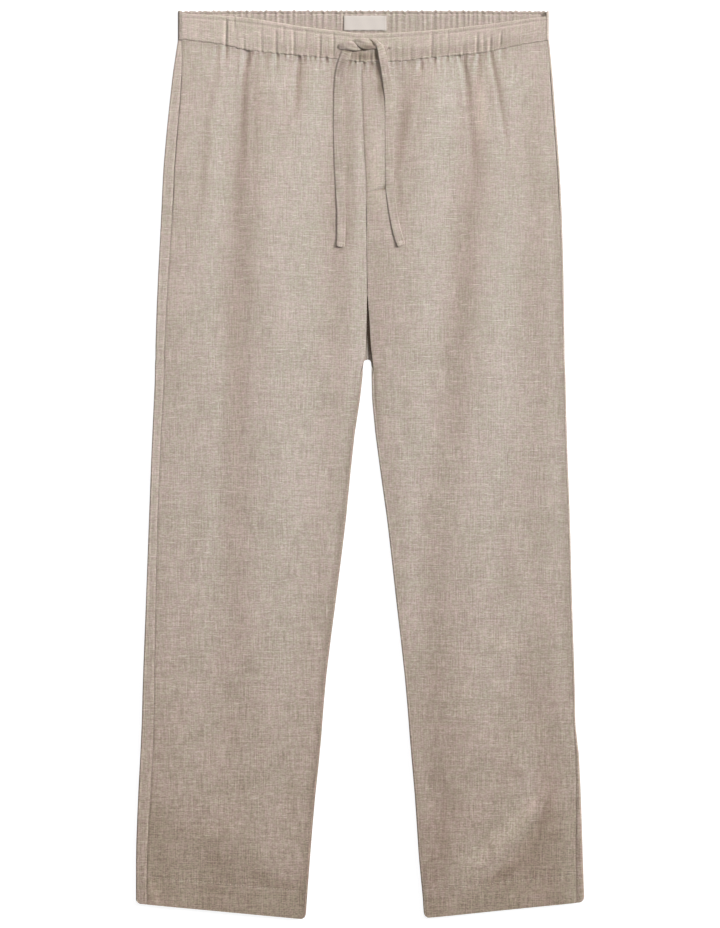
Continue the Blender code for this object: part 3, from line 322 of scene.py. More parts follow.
# Painted light and shade on the backs' turned-up rims.
RIM_PAINTED_SHADING = {  # of the backs' edges where they turn up: the outer and the inner one
    "right": (0.40, -0.24),
    "left": (-0.03, 0.40),
}
RIM_REACH = 0.0022  # how far in from the edge these tones fade

# Painted shadows round the drawstring's knot, on the waistband and on the tape's ends.
KNOT_PAINTED_SHADOWS = {
    "waistband": {
        "under_knot": (
            (-0.0240, 0.4893, -0.10, 0.0016), (-0.0190, 0.4884, -0.35, 0.0020),
            (-0.0120, 0.4878, -0.40, 0.0022), (-0.0020, 0.4880, -0.40, 0.0022),
            (0.0070, 0.4888, -0.30, 0.0020), (0.0110, 0.4895, 0.0, 0.0018)),
        "beside_tail": (
            (0.0175, 0.4925, -0.20, 0.0016), (0.0188, 0.4880, -0.35, 0.0020),
            (0.0196, 0.4820, -0.35, 0.0024), (0.0204, 0.4770, -0.30, 0.0024)),
    },
    "right": {
        "crossing": (
            (-0.0068, 0.4986, -0.25, 0.0012), (-0.0044, 0.4962, -0.45, 0.0014),
            (-0.0010, 0.4940, -0.50, 0.0014), (0.0030, 0.4918, -0.30, 0.0014)),
    },
    "left": {
        "hook": (
            (0.0105, 0.5022, -0.45, 0.0012), (0.0145, 0.4986, -0.60, 0.0014),
            (0.0172, 0.4938, -0.60, 0.0016)),
        "lobe_shade": (
            (0.0030, 0.4925, -0.15, 0.0040), (0.0080, 0.4910, -0.22, 0.0045),
            (0.0140, 0.4920, -0.22, 0.0045), (0.0180, 0.4930, -0.10, 0.0030)),
        "tail_top": (
            (-0.0190, 0.4872, -0.20, 0.0020), (-0.0110, 0.4866, -0.30, 0.0022),
            (-0.0080, 0.4866, -0.20, 0.0020)),
        "tail_shade": (
            (-0.0150, 0.4840, -0.08, 0.0050), (-0.0190, 0.4760, -0.12, 0.0050),
            (-0.0215, 0.4660, -0.09, 0.0050), (-0.0235, 0.4560, 0.0, 0.0050)),
    },
}

# Soft hollows on the underside, where the backs lie on the surface, in the same columns.
BACK_CREASES = {
    "right": {
        "seat": ((-0.0300, 0.3900, 0.0, 0.0200), (-0.0900, 0.3300, 0.0006, 0.0220),
                 (-0.1500, 0.3050, 0.0, 0.0200)),
        "knee": ((-0.0500, -0.0700, 0.0, 0.0160), (-0.1200, -0.1100, 0.0005, 0.0200),
                 (-0.1900, -0.1000, 0.0, 0.0160)),
        "calf": ((-0.1900, -0.2500, 0.0, 0.0180), (-0.1500, -0.3200, 0.0006, 0.0200),
                 (-0.1350, -0.4300, 0.0, 0.0180)),
    },
    "left": {
        "seat": ((0.0350, 0.3700, 0.0, 0.0200), (0.1000, 0.3200, 0.0006, 0.0220),
                 (0.1700, 0.3150, 0.0, 0.0200)),
        "knee": ((0.0600, -0.0900, 0.0, 0.0160), (0.1300, -0.1250, 0.0005, 0.0200),
                 (0.2000, -0.0900, 0.0, 0.0160)),
        "calf": ((0.2000, -0.2300, 0.0, 0.0180), (0.1700, -0.3100, 0.0006, 0.0200),
                 (0.1600, -0.4200, 0.0, 0.0180)),
    },
}

# Distances from a leg panel's top to its rows of points, as stretches from, to and step. They
# are closer at the gathers, the fly's stitching and the crotch.
FRONT_ROWS = ((0.0018, 0.0360, 0.0016), (0.0370, 0.1490, 0.0043), (0.1500, 0.1640, 0.0010))
BACK_ROWS = (
    (0.0040, 0.0400, 0.0040), (0.0440, 0.3500, 0.0060), (0.3540, 0.3640, 0.0020),
    (0.3648, 0.3790, 0.0007), (0.3800, 0.4100, 0.0022))

# Creases of the front waistband: x, depth, half width, the stretch of its height that they
# cross, from its seam at 0 to its top edge at 1, and how far they lean over that height.
BAND_CREASES = (
    (-0.1578, 0.0017, 0.0026, -0.20, 0.98, 0.0010),
    (-0.1480, 0.0010, 0.0022, 0.45, 1.10, 0.0000),
    (-0.1360, 0.0008, 0.0028, -0.20, 0.40, 0.0012),
    (-0.1165, 0.0007, 0.0030, -0.20, 0.80, -0.0010),
    (-0.0990, 0.0010, 0.0024, -0.20, 0.85, 0.0008),
    (-0.0905, 0.0007, 0.0020, 0.30, 1.10, 0.0014),
    (-0.0780, 0.0009, 0.0026, -0.20, 0.95, -0.0006),
    (-0.0640, 0.0007, 0.0022, 0.20, 1.10, 0.0010),
    (-0.0470, 0.0009, 0.0026, -0.20, 0.90, 0.0012),
    (-0.0310, 0.0008, 0.0024, -0.20, 1.10, 0.0000),
    (-0.0095, 0.0008, 0.0019, -0.20, 0.40, 0.0010),
    (-0.0012, 0.0009, 0.0017, -0.20, 0.36, -0.0010),
    (0.0128, 0.0010, 0.0018, -0.20, 0.44, 0.0008),
    (0.0170, 0.0009, 0.0018, -0.20, 0.44, -0.0008),
    (0.0600, 0.0007, 0.0026, -0.20, 0.60, -0.0010),
    (0.0845, 0.0011, 0.0022, -0.20, 1.00, 0.0008),
    (0.1040, 0.0007, 0.0024, 0.10, 1.10, -0.0012),
    (0.1215, 0.0007, 0.0026, -0.20, 0.50, 0.0010),
    (0.1380, 0.0012, 0.0024, -0.20, 0.80, 0.0016),
    (0.1455, 0.0011, 0.0020, 0.00, 0.75, -0.0010),
    (0.1540, 0.0013, 0.0024, -0.20, 0.60, 0.0014),
    (0.1660, 0.0014, 0.0022, 0.05, 0.70, 0.0020),
)

# Drawstring, from its hole in the waistband to its end, for the wearer's right end and
# left one: place, tape's width, how high its underside and its upper face lie over the
# cloth, and how much higher its edge towards +X lies where it hangs down.
DRAWSTRING_COLUMNS = ("x", "y", "width", "under", "top", "tilt")
DRAWSTRING = {
    "right": (
        (-0.0250, 0.4925, 0.0062, 0.0, 0.0006, 0.0), (-0.0215, 0.4929, 0.0090, 0.0, 0.0015, 0.0),
        (-0.0168, 0.4932, 0.0112, 0.0, 0.0026, 0.0), (-0.0115, 0.4929, 0.0120, 0.0, 0.0030, 0.0),
        (-0.0062, 0.4920, 0.0106, 0.0, 0.0026, 0.0), (-0.0009, 0.4913, 0.0080, 0.0, 0.0016, 0.0),
        (0.0032, 0.4934, 0.0060, 0.0, 0.0008, 0.0), (0.0074, 0.4971, 0.0056, 0.0, 0.0006, 0.0),
        (0.0115, 0.5002, 0.0050, 0.0, 0.0010, 0.0), (0.0156, 0.4997, 0.0052, 0.0, 0.0018, 0.0),
        (0.0196, 0.4967, 0.0062, 0.0004, 0.0024, 0.0), (0.0232, 0.4924, 0.0078, 0.0009, 0.0026, 0.0),
        (0.0255, 0.4872, 0.0090, 0.0013, 0.0026, 0.0), (0.0267, 0.4804, 0.0096, 0.0015, 0.0025, 0.0),
        (0.0284, 0.4726, 0.0100, 0.0013, 0.0022, 0.0), (0.0302, 0.4632, 0.0101, 0.0010, 0.0019, 0.0),
        (0.0317, 0.4537, 0.0101, 0.0009, 0.0017, 0.0), (0.0330, 0.4437, 0.0101, 0.0007, 0.0013, 0.0),
        (0.0345, 0.4313, 0.0101, 0.0003, 0.0008, 0.0), (0.0349, 0.4160, 0.0101, 0.0, 0.0004, 0.0),
        (0.0350, 0.3971, 0.0101, 0.0, 0.0004, 0.0), (0.0349, 0.3711, 0.0101, 0.0, 0.0004, 0.0),
        (0.0350, 0.3481, 0.0101, 0.0, 0.0004, 0.0), (0.0357, 0.3245, 0.0101, 0.0, 0.0006, 0.0),
        (0.0372, 0.3103, 0.0101, 0.0, 0.0008, 0.0), (0.0394, 0.2950, 0.0101, 0.0, 0.0009, 0.0),
        (0.0431, 0.2773, 0.0101, 0.0, 0.0010, 0.0), (0.0456, 0.2679, 0.0103, 0.0, 0.0011, 0.0),
        (0.0489, 0.2578, 0.0100, 0.0, 0.0011, 0.0)),
    "left": (
        (0.0338, 0.4903, 0.0050, 0.0, 0.0002, 0.0), (0.0298, 0.4906, 0.0058, 0.0, 0.0005, 0.0),
        (0.0245, 0.4918, 0.0068, 0.0, 0.0007, 0.0), (0.0192, 0.4936, 0.0078, 0.0, 0.0012, 0.0),
        (0.0139, 0.4947, 0.0114, 0.0, 0.0026, 0.0), (0.0080, 0.4950, 0.0142, 0.0, 0.0033, 0.0),
        (0.0021, 0.4961, 0.0134, 0.0, 0.0034, 0.0), (-0.0027, 0.4972, 0.0104, 0.0, 0.0028, 0.0),
        (-0.0065, 0.4976, 0.0072, 0.0, 0.0015, 0.0), (-0.0091, 0.4955, 0.0056, 0.0, 0.0006, 0.0),
        (-0.0113, 0.4922, 0.0070, 0.0, 0.0006, 0.0), (-0.0146, 0.4875, 0.0112, 0.0, 0.0009, 0.0010),
        (-0.0176, 0.4808, 0.0122, 0.0, 0.0010, 0.0017), (-0.0205, 0.4738, 0.0112, 0.0, 0.0010, 0.0017),
        (-0.0230, 0.4655, 0.0104, 0.0, 0.0010, 0.0014), (-0.0246, 0.4549, 0.0102, 0.0, 0.0008, 0.0005),
        (-0.0257, 0.4395, 0.0101, 0.0, 0.0006, 0.0), (-0.0259, 0.4160, 0.0101, 0.0, 0.0004, 0.0),
        (-0.0259, 0.3947, 0.0101, 0.0, 0.0004, 0.0), (-0.0254, 0.3688, 0.0101, 0.0, 0.0004, 0.0),
        (-0.0245, 0.3452, 0.0101, 0.0, 0.0004, 0.0), (-0.0231, 0.3216, 0.0101, 0.0, 0.0006, 0.0),
        (-0.0220, 0.2979, 0.0101, 0.0, 0.0009, 0.0), (-0.0219, 0.2744, 0.0101, 0.0, 0.0010, 0.0),
        (-0.0228, 0.2566, 0.0100, 0.0, 0.0011, 0.0)),
}


class LinenSettings(bpy.types.PropertyGroup):
    """The linen's colours, yarn and thickness"""

    light_yarn: bpy.props.FloatVectorProperty(
        name="Light yarn", description="Colour of the bleached yarns",
        subtype="COLOR", default=(0.575, 0.490, 0.430))
    dark_yarn: bpy.props.FloatVectorProperty(
        name="Dark yarn", description="Colour of the undyed yarns",
        subtype="COLOR", default=(0.300, 0.240, 0.200))
    slub: bpy.props.FloatVectorProperty(
        name="Slub", description="Colour of the thick pale places in the yarns",
        subtype="COLOR", default=(0.740, 0.670, 0.610))
    # Painted shade: the linen darker and warmer towards the hems, where the light falls off.
    leg_shade_tint: bpy.props.FloatVectorProperty(
        name="Leg tint", description="Multiplies the linen's colour towards the hems",
        subtype="COLOR", default=(0.82, 0.76, 0.71))
    # Painted shade of a fold in the zone above each hem.
    hem_zone_shade_tint: bpy.props.FloatVectorProperty(
        name="Hem tint", description="Multiplies it once more in the zone above each hem",
        subtype="COLOR", default=(0.89, 0.885, 0.85))
    # Painted shadow deep in the crotch, between the fronts.
    crotch_shadow_tint: bpy.props.FloatVectorProperty(
        name="Seam tint", description="Multiplies it deep in the crotch's seam",
        subtype="COLOR", default=(0.30, 0.24, 0.18))
    yarn: bpy.props.FloatProperty(
        name="Yarn spacing", description="Distance from one yarn to the next",
        unit="LENGTH", default=0.00075)
    cloth: bpy.props.FloatProperty(
        name="Cloth", description="Thickness of one layer of linen",
        unit="LENGTH", default=0.0006)
    hem_cloth: bpy.props.FloatProperty(
        name="Hem", description="Thickness of the turned-up hem",
        unit="LENGTH", default=0.0011)
    roughness: bpy.props.FloatProperty(
        name="Roughness", description="Roughness of the washed linen", default=0.92)


class SewingSettings(bpy.types.PropertyGroup):
    """The topstitching's thread and stitch"""

    thread: bpy.props.FloatVectorProperty(
        name="Thread", description="Colour of the sewing thread",
        subtype="COLOR", default=(0.520, 0.440, 0.380))
    width: bpy.props.FloatProperty(
        name="Thread width", description="Thickness of the sewing thread",
        unit="LENGTH", default=0.00045)
    length: bpy.props.FloatProperty(
        name="Stitch", description="Length of one topstitch", unit="LENGTH", default=0.0023)
    gap: bpy.props.FloatProperty(
        name="Gap", description="Cloth between two stitches", unit="LENGTH", default=0.0009)


class TrimSettings(bpy.types.PropertyGroup):
    """The drawstring's tape and the label"""

    end_fold: bpy.props.FloatProperty(
        name="End fold", description="How much thicker the drawstring's turned ends are",
        unit="LENGTH", default=0.0009)
    step: bpy.props.FloatProperty(
        name="Step", description="Length between the drawstring's rows of points",
        unit="LENGTH", default=0.0009)
    label: bpy.props.FloatVectorProperty(
        name="Label", description="Colour of the bare label",
        subtype="COLOR", default=(0.565, 0.510, 0.468))


class StudioSettings(bpy.types.PropertyGroup):
    """The camera, the surface and the lights"""

    height: bpy.props.FloatProperty(
        name="Camera height", description="Height of the camera above the surface",
        unit="LENGTH", default=3.4)
    scale: bpy.props.FloatProperty(
        name="Picture scale", description="Real length that one pixel of the picture shows",
        unit="LENGTH", default=0.00118)
    picture: bpy.props.IntVectorProperty(
        name="Picture", description="Width and height of the picture in pixels",
        size=2, default=(720, 928))
    aim: bpy.props.FloatVectorProperty(
        name="Aim", description="Point on the surface that the camera looks at",
        size=2, unit="LENGTH", default=(0.0003, 0.0006))
    floor: bpy.props.FloatVectorProperty(
        name="Floor", description="Colour of the surface under the trousers",
        subtype="COLOR", default=(0.25, 0.25, 0.25))
    glow: bpy.props.FloatProperty(
        name="Glow", description="Light that the pale surface gives off by itself", default=0.92)
    key: bpy.props.FloatProperty(
        name="Key light", description="Power of the raking soft light in watts", default=21500.0)
    top: bpy.props.FloatProperty(
        name="Top light", description="Power of the soft light beyond the waist in watts",
        default=15.5)
    fill: bpy.props.FloatProperty(
        name="Fill", description="Strength of the light from all round", default=0.18)


# ---------------------------------------------------------------- shader nodes


class Value:
    """A number on a shader link. Sums and products of it add their Math nodes."""

    def __init__(self, nodes, socket):
        self.nodes = nodes
        self.socket = socket

    def math(self, operation, *others):
        return self.nodes.add("ShaderNodeMath", {"operation": operation}, [self, *others])

    def __add__(self, other):
        return self.math("ADD", other)

    def __sub__(self, other):
        return self.math("SUBTRACT", other)

    def __rsub__(self, other):
        return self.nodes.add("ShaderNodeMath", {"operation": "SUBTRACT"}, [other, self])

    def __mul__(self, other):
        return self.math("MULTIPLY", other)

    __radd__ = __add__
    __rmul__ = __mul__


class Nodes:
    """A material's nodes, made and linked by one method."""

    def __init__(self, name):
        self.material = bpy.data.materials.new(name)
        self.material.use_nodes = True
        self.tree = self.material.node_tree
        self.tree.nodes.clear()

    def add(self, kind, settings=None, sockets=(), output=0):
        """A node of this kind: its settings first, then its sockets' values or links."""
        node = self.tree.nodes.new(kind)
        for name, value in (settings or {}).items():
            setattr(node, name, value)
        named = sockets.items() if isinstance(sockets, dict) else enumerate(sockets)
        for key, value in named:
            if isinstance(value, Value):
                self.tree.links.new(value.socket, node.inputs[key])
            else:
                node.inputs[key].default_value = value
        return Value(self, node.outputs[output]) if node.outputs else None

    def mix(self, factor, first, second, blend="MIX"):
        """A colour between two, or the first one blended with the second."""
        settings = {"data_type": "RGBA", "blend_type": blend, "clamp_factor": True}
        return self.add("ShaderNodeMix", settings, {0: factor, 6: first, 7: second}, output=2)

    def step(self, value, low, high):
        """0 below low, 1 above high and smooth between them."""
        sockets = {"Value": value, "From Min": low, "From Max": high}
        return self.add("ShaderNodeMapRange", {"interpolation_type": "SMOOTHSTEP"}, sockets)

    def finish(self, sockets):
        """The Principled shader with these sockets, on the material's output."""
        shader = self.add("ShaderNodeBsdfPrincipled", None, sockets)
        self.add("ShaderNodeOutputMaterial", None, {"Surface": shader})
        return self.material


def colour(value, factor=1.0):
    """A colour with its alpha, made lighter or darker by a factor."""
    return (*(factor * channel for channel in value), 1.0)


class Cloth(Nodes):
    """Nodes of a woven cloth on a piece's flat layout, in metres on its UV map."""

    def __init__(self, name, seed=0.0):
        super().__init__(name)
        self.seed = seed
        place = self.add("ShaderNodeTexCoord", output="UV")
        self.across = self.add("ShaderNodeSeparateXYZ", None, [place], output="X")
        self.along = self.add("ShaderNodeSeparateXYZ", None, [place], output="Y")

    def noise(self, per_metre_across, per_metre_along, start, detail=1.0):
        """Noise with this many grains to the metre across and along the cloth."""
        vector = self.add("ShaderNodeCombineXYZ", None, [
            self.across * per_metre_across, self.along * per_metre_along, start + self.seed])
        return self.add("ShaderNodeTexNoise", None, {"Vector": vector, "Scale": 1.0, "Detail": detail})


class Linen(Cloth):
    """Plain-weave linen melange, whose colour is built up in steps."""

    def __init__(self, name, settings, seed):
        super().__init__(name, seed)
        self.settings = settings
        self.warp = self.noise(1000.0, 36.0, 0.0)
        self.weft = self.noise(40.0, 960.0, 7.3)
        self.mottle = self.noise(26.0, 20.0, 11.9, detail=2.0)
        self.slub_weft = self.step(self.noise(70.0, 640.0, 15.1), 0.66, 0.74)
        self.tone = self.mixed_yarns()
        self.base = self.mix(self.tone, colour(settings.dark_yarn), colour(settings.light_yarn))
        self.add_slubs()
        self.vary_hue(self.mottle, (0.988, 1.004, 0.985), (1.010, 0.994, 1.005))
        self.vary_hue(self.noise(240.0, 170.0, 53.9), (0.970, 1.010, 0.955), (1.025, 0.990, 1.020))

    def mixed_yarns(self):
        """0 at the dark yarns and 1 at the light ones, with more contrast towards the hems."""
        fleck = self.noise(330.0, 860.0, 3.7)
        cross_fleck = self.noise(880.0, 300.0, 19.1)
        cloud = self.noise(7.0, 5.0, 23.4)
        yarns = self.warp + 0.75 * self.weft + 1.1 * fleck + 0.5 * cross_fleck
        yarns = yarns + 0.25 * self.mottle + 0.15 * cloud
        middle = 0.5 * (1.0 + 0.75 + 1.1 + 0.5 + 0.25 + 0.15)
        leg = self.along.math("MINIMUM", 0.0)
        contrast = 0.93 - 0.45 * self.along + 1.1 * leg * leg
        return 0.5 + (yarns - middle) * contrast

    def add_slubs(self):
        """Thick pale places in the yarns both ways, and dark ones in the warp."""
        slub_warp = self.step(self.noise(640.0, 50.0, 31.7), 0.68, 0.77)
        dark_slub = self.step(self.noise(600.0, 42.0, 41.3), 0.65, 0.74)
        pale = self.slub_weft * 0.42 + slub_warp * 0.30
        self.base = self.mix(pale, self.base, colour(self.settings.slub))
        self.base = self.mix(dark_slub * 0.45, self.base, colour(self.settings.dark_yarn))

    def multiply(self, factor, tint):
        """Multiplies the colour by a tint, as far as the factor says."""
        self.base = self.mix(factor, self.base, tint, "MULTIPLY")

    def vary_hue(self, noise, first, second):
        """Moves the colour softly between two tints."""
        self.multiply(1.0, self.mix(self.step(noise, 0.35, 0.65), colour(first), colour(second)))

    def paint_leg_shade(self):
        """Paints shade that darkens and warms the cloth slowly from the seat down to the hem, where the
        light falls off.
        """
        self.multiply(1.0 - self.step(self.along, -0.600, 0.050), colour(self.settings.leg_shade_tint))

    def paint_hem_zone_shade(self, start_x, start_y, rise):
        """Paints the shade of a fold: darkens the cloth below a line through a point, with its rise per
        metre across.
        """
        above = self.along - rise * self.across - (start_y - rise * start_x)
        under = 1.0 - self.step(above + 0.05 * self.mottle, -0.002, 0.052)
        self.multiply(under, colour(self.settings.hem_zone_shade_tint))

    def paint_crotch_shadow(self, side):
        """Paints a shadow on the inner face of a back beside the crotch's seam, where it shows deep between
        the fronts.
        """
        start = CROTCH_START[side]
        near = self.step(self.across * -OUT[side], 0.1020, 0.1150)
        low = self.step(self.along, start, start + 0.03)
        high = 1.0 - self.step(self.along, 0.2000, 0.2300)
        solid = self.add("ShaderNodeTexCoord", output="Object")
        height = self.add("ShaderNodeSeparateXYZ", None, [solid], output="Z")
        inner_face = self.step(height, 0.00042, 0.00056)
        self.multiply(near * low * high * inner_face, colour(self.settings.crotch_shadow_tint))

    def shader(self):
        """The material, with the weave and the thick yarns as its bump."""
        turns = math.pi / self.settings.yarn
        weave = (self.across * turns).math("SINE") * (self.along * turns).math("SINE")
        height = 0.5 * weave + 1.2 * self.warp + 1.2 * self.weft + 0.8 * self.slub_weft
        bump_normal = self.add(
            "ShaderNodeBump", None, {"Strength": 0.55, "Distance": 0.00022, "Height": height})
        return self.finish({
            "Base Color": self.base, "Normal": bump_normal,
            "Roughness": self.settings.roughness - 0.06 * self.step(self.tone, 0.2, 0.9),
            "Specular IOR Level": 0.25, "Sheen Weight": 0.12, "Sheen Roughness": 0.6})


def linen(name, settings, seed, tint=None, hem=True, zone=None, toned=False, crotch=None):
    """Linen for one kind of piece.

    zone is the line under which the hem zone's shade is painted, and crotch the side whose crotch gets its
    painted shadow. A toned piece has its painted light and shade as an attribute."""
    cloth = Linen(name, settings, seed)
    if hem:
        cloth.paint_leg_shade()
    if zone:
        cloth.paint_hem_zone_shade(*zone)
    if crotch:
        cloth.paint_crotch_shadow(crotch)
    # Painted light and shade, from the piece's tone attribute.
    if toned:
        tone = cloth.add("ShaderNodeAttribute", {"attribute_name": "tone"}, output="Color")
        cloth.multiply(1.0, tone)
    if tint:
        cloth.multiply(1.0, colour(tint))
    return cloth.shader()


def thread_material(settings):
    """Matt sewing thread with its twist."""
    nodes = Nodes("sewing_thread")
    place = nodes.add("ShaderNodeTexCoord", output="Object")
    grain = nodes.add("ShaderNodeTexNoise", None, {"Vector": place, "Scale": 900.0, "Detail": 1.0})
    twist = nodes.step(grain, 0.3, 0.7)
    base = nodes.mix(twist, colour(settings.thread, 0.72), colour(settings.thread))
    return nodes.finish({"Base Color": base, "Roughness": 0.75, "Specular IOR Level": 0.3})


def label_material(settings):
    """Fine smooth satin label, bare."""
    nodes = Cloth("label_satin")
    ribs = nodes.noise(900.0, 2600.0, 0.0)
    base = nodes.mix(nodes.step(ribs, 0.3, 0.7), colour(settings.label, 0.95), colour(settings.label))
    bump_normal = nodes.add("ShaderNodeBump", None, {"Strength": 0.25, "Distance": 0.0001, "Height": ribs})
    return nodes.finish({"Base Color": base, "Roughness": 0.6, "Normal": bump_normal, "Sheen Weight": 0.1})


def floor_material(settings):
    """Plain pale surface that glows a little."""
    nodes = Nodes("pale_surface")
    place = nodes.add("ShaderNodeTexCoord", output="Object")
    grain = nodes.add("ShaderNodeTexNoise", None, {"Vector": place, "Scale": 3.0})
    base = nodes.mix(grain, colour(settings.floor), colour(settings.floor, 0.985))
    return nodes.finish({
        "Base Color": base, "Roughness": 0.9, "Specular IOR Level": 0.1,
        "Emission Color": colour((1.0, 1.0, 1.0)), "Emission Strength": settings.glow})


# ------------------------------------------------------- what the frame holds


def node_mesh(node):
    """The points and edges of a CAD node, as arrays."""
    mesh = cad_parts[node].data
    points = np.zeros(3 * len(mesh.vertices))
    edges = np.zeros(2 * len(mesh.edges), int)
    mesh.vertices.foreach_get("co", points)
    mesh.edges.foreach_get("vertices", edges)
    return points.reshape(-1, 3), edges.reshape(-1, 2)


def extent(node, axis, places):
    """Lowest and highest reach of a node on the other plan axis, at each place on this one."""
    points, edges = node_mesh(node)
    start = points[edges[:, 0]]
    end = points[edges[:, 1]]
    other = 1 - axis
    reach = []
    for place in places:
        crosses = (start[:, axis] - place) * (end[:, axis] - place) < 0.0
        a = start[crosses]
        b = end[crosses]
        share = (place - a[:, axis]) / (b[:, axis] - a[:, axis])
        at = a[:, other] + share * (b[:, other] - a[:, other])
        reach.append((at.min(), at.max()))
    return np.array(reach).T


def line(places, values):
    """A line through measured stations, which runs straight on past its ends."""
    first = (values[1] - values[0]) / (places[1] - places[0])
    last = (values[-1] - values[-2]) / (places[-1] - places[-2])

    def at(place):
        place = np.asarray(place, float)
        before = np.minimum(place - places[0], 0.0)
        after = np.maximum(place - places[-1], 0.0)
        return np.interp(place, places, values) + first * before + last * after

    return at


def stations(low, high, step):
    """Evenly spaced places from low to high, about a step apart."""
    return np.linspace(low, high, int(round((high - low) / step)) + 1)


def ramp(value, start, end):
    """0 at start and 1 at end, straight between them and level beyond."""
    return np.clip((value - start) / (end - start), 0.0, 1.0)


def bump(distance, half_width):
    """1 on a line, falling smoothly to 0 at its half width."""
    share = np.minimum(np.abs(distance) / half_width, 1.0)
    return (1.0 - share * share) ** 2


def ridge(distance, spread):
    """1 on a line, fading out softly over a few times its spread."""
    return np.exp(-(distance / spread) ** 2)


class Form:
    """The upper face of a CAD node as a height over the plan, with its facets smoothed."""

    STEP = 0.004
    BLUR = (0.0045, 0.0100)  # across and along

    def __init__(self, node):
        low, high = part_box(node)
        self.x = np.arange(low[0] - self.STEP, high[0] + 2 * self.STEP, self.STEP)
        self.y = np.arange(low[1] - self.STEP, high[1] + 2 * self.STEP, self.STEP)
        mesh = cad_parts[node].data
        points = [vertex.co for vertex in mesh.vertices]
        faces = [tuple(polygon.vertices) for polygon in mesh.polygons]
        tree = BVHTree.FromPolygons(points, faces)
        down = Vector((0.0, 0.0, -1.0))
        heights = np.zeros((len(self.y), len(self.x)))
        known = np.zeros_like(heights)
        for row, y in enumerate(self.y):
            for col, x in enumerate(self.x):
                hit = tree.ray_cast(Vector((x, y, 0.1)), down)[0]
                if hit is not None:
                    heights[row, col] = hit.z
                    known[row, col] = 1.0
        near_x = np.exp(-0.5 * ((self.x[:, None] - self.x) / self.BLUR[0]) ** 2)
        near_y = np.exp(-0.5 * ((self.y[:, None] - self.y) / self.BLUR[1]) ** 2)
        self.heights = (near_y @ heights @ near_x) / (near_y @ known @ near_x)

    def __call__(self, x, y):
        col = np.clip((x - self.x[0]) / self.STEP, 0, len(self.x) - 1.001)
        row = np.clip((y - self.y[0]) / self.STEP, 0, len(self.y) - 1.001)
        left = col.astype(int)
        low = row.astype(int)
        right_share = col - left
        high_share = row - low

        def across(row):
            return self.heights[row, left] * (1 - right_share) + self.heights[row, left + 1] * right_share

        return across(low) * (1 - high_share) + across(low + 1) * high_share


def crease_height(points, x, y):
    """How much a crease raises or lowers the cloth, from the nearest point of its line."""
    nearest = np.full(x.shape, np.inf)
    height = np.zeros(x.shape)
    for start, end in zip(points, points[1:]):
        run = np.subtract(end[:2], start[:2])
        share = ((x - start[0]) * run[0] + (y - start[1]) * run[1]) / (run @ run)
        share = np.clip(share, 0.0, 1.0)
        gap = np.hypot(x - start[0] - share * run[0], y - start[1] - share * run[1])
        depth = start[2] + share * (end[2] - start[2])
        half_width = start[3] + share * (end[3] - start[3])
        height = np.where(gap < nearest, depth * bump(gap, half_width), height)
        nearest = np.minimum(nearest, gap)
    return height


def creases_height(creases, x, y):
    """The sum of what all these creases do."""
    return sum(crease_height(points, x, y) for points in creases.values())


def ripples(seed, count, shortest, longest):
    """Slow unevenness as a sum of waves in all directions, with a height of about 1."""
    rng = np.random.default_rng(seed)
    waves = []
    for _ in range(count):
        length = shortest * (longest / shortest) ** rng.random()
        turn = rng.uniform(0.0, math.pi)
        waves.append((2 * math.pi / length, turn, rng.uniform(0.0, 2 * math.pi)))

    def height(x, y):
        total = np.zeros(np.shape(x))
        for number, turn, start in waves:
            total += np.sin(number * (x * math.cos(turn) + y * math.sin(turn)) + start)
        return total / math.sqrt(count)

    return height


class Gathers:
    """Uneven gathers along a seam: each one's place, height, half width, lean and length."""

    def __init__(self, seed, start, end, spacing, height, fade):
        rng = np.random.default_rng(seed)
        self.rows = []
        x = start
        while x < end:
            inside = min(1.0, 0.3 + 12.0 * min(x - start, end - x))
            self.rows.append((
                x, inside * height * rng.uniform(0.35, 1.0), spacing * rng.uniform(0.30, 0.52),
                rng.uniform(-0.18, 0.18), fade * rng.uniform(0.5, 1.6)))
            x += spacing * rng.uniform(0.65, 1.45)

    def height(self, x, from_seam):
        """Their height at a distance below the seam."""
        total = np.zeros(np.shape(x))
        for place, size, half_width, lean, fade in self.rows:
            wider = half_width * (1.0 + 0.6 * np.maximum(from_seam, 0.0) / fade)
            strength = np.clip(1.0 - from_seam / fade, 0.0, 1.0)
            total += size * strength * strength * bump(x - place - lean * from_seam, wider)
        return total


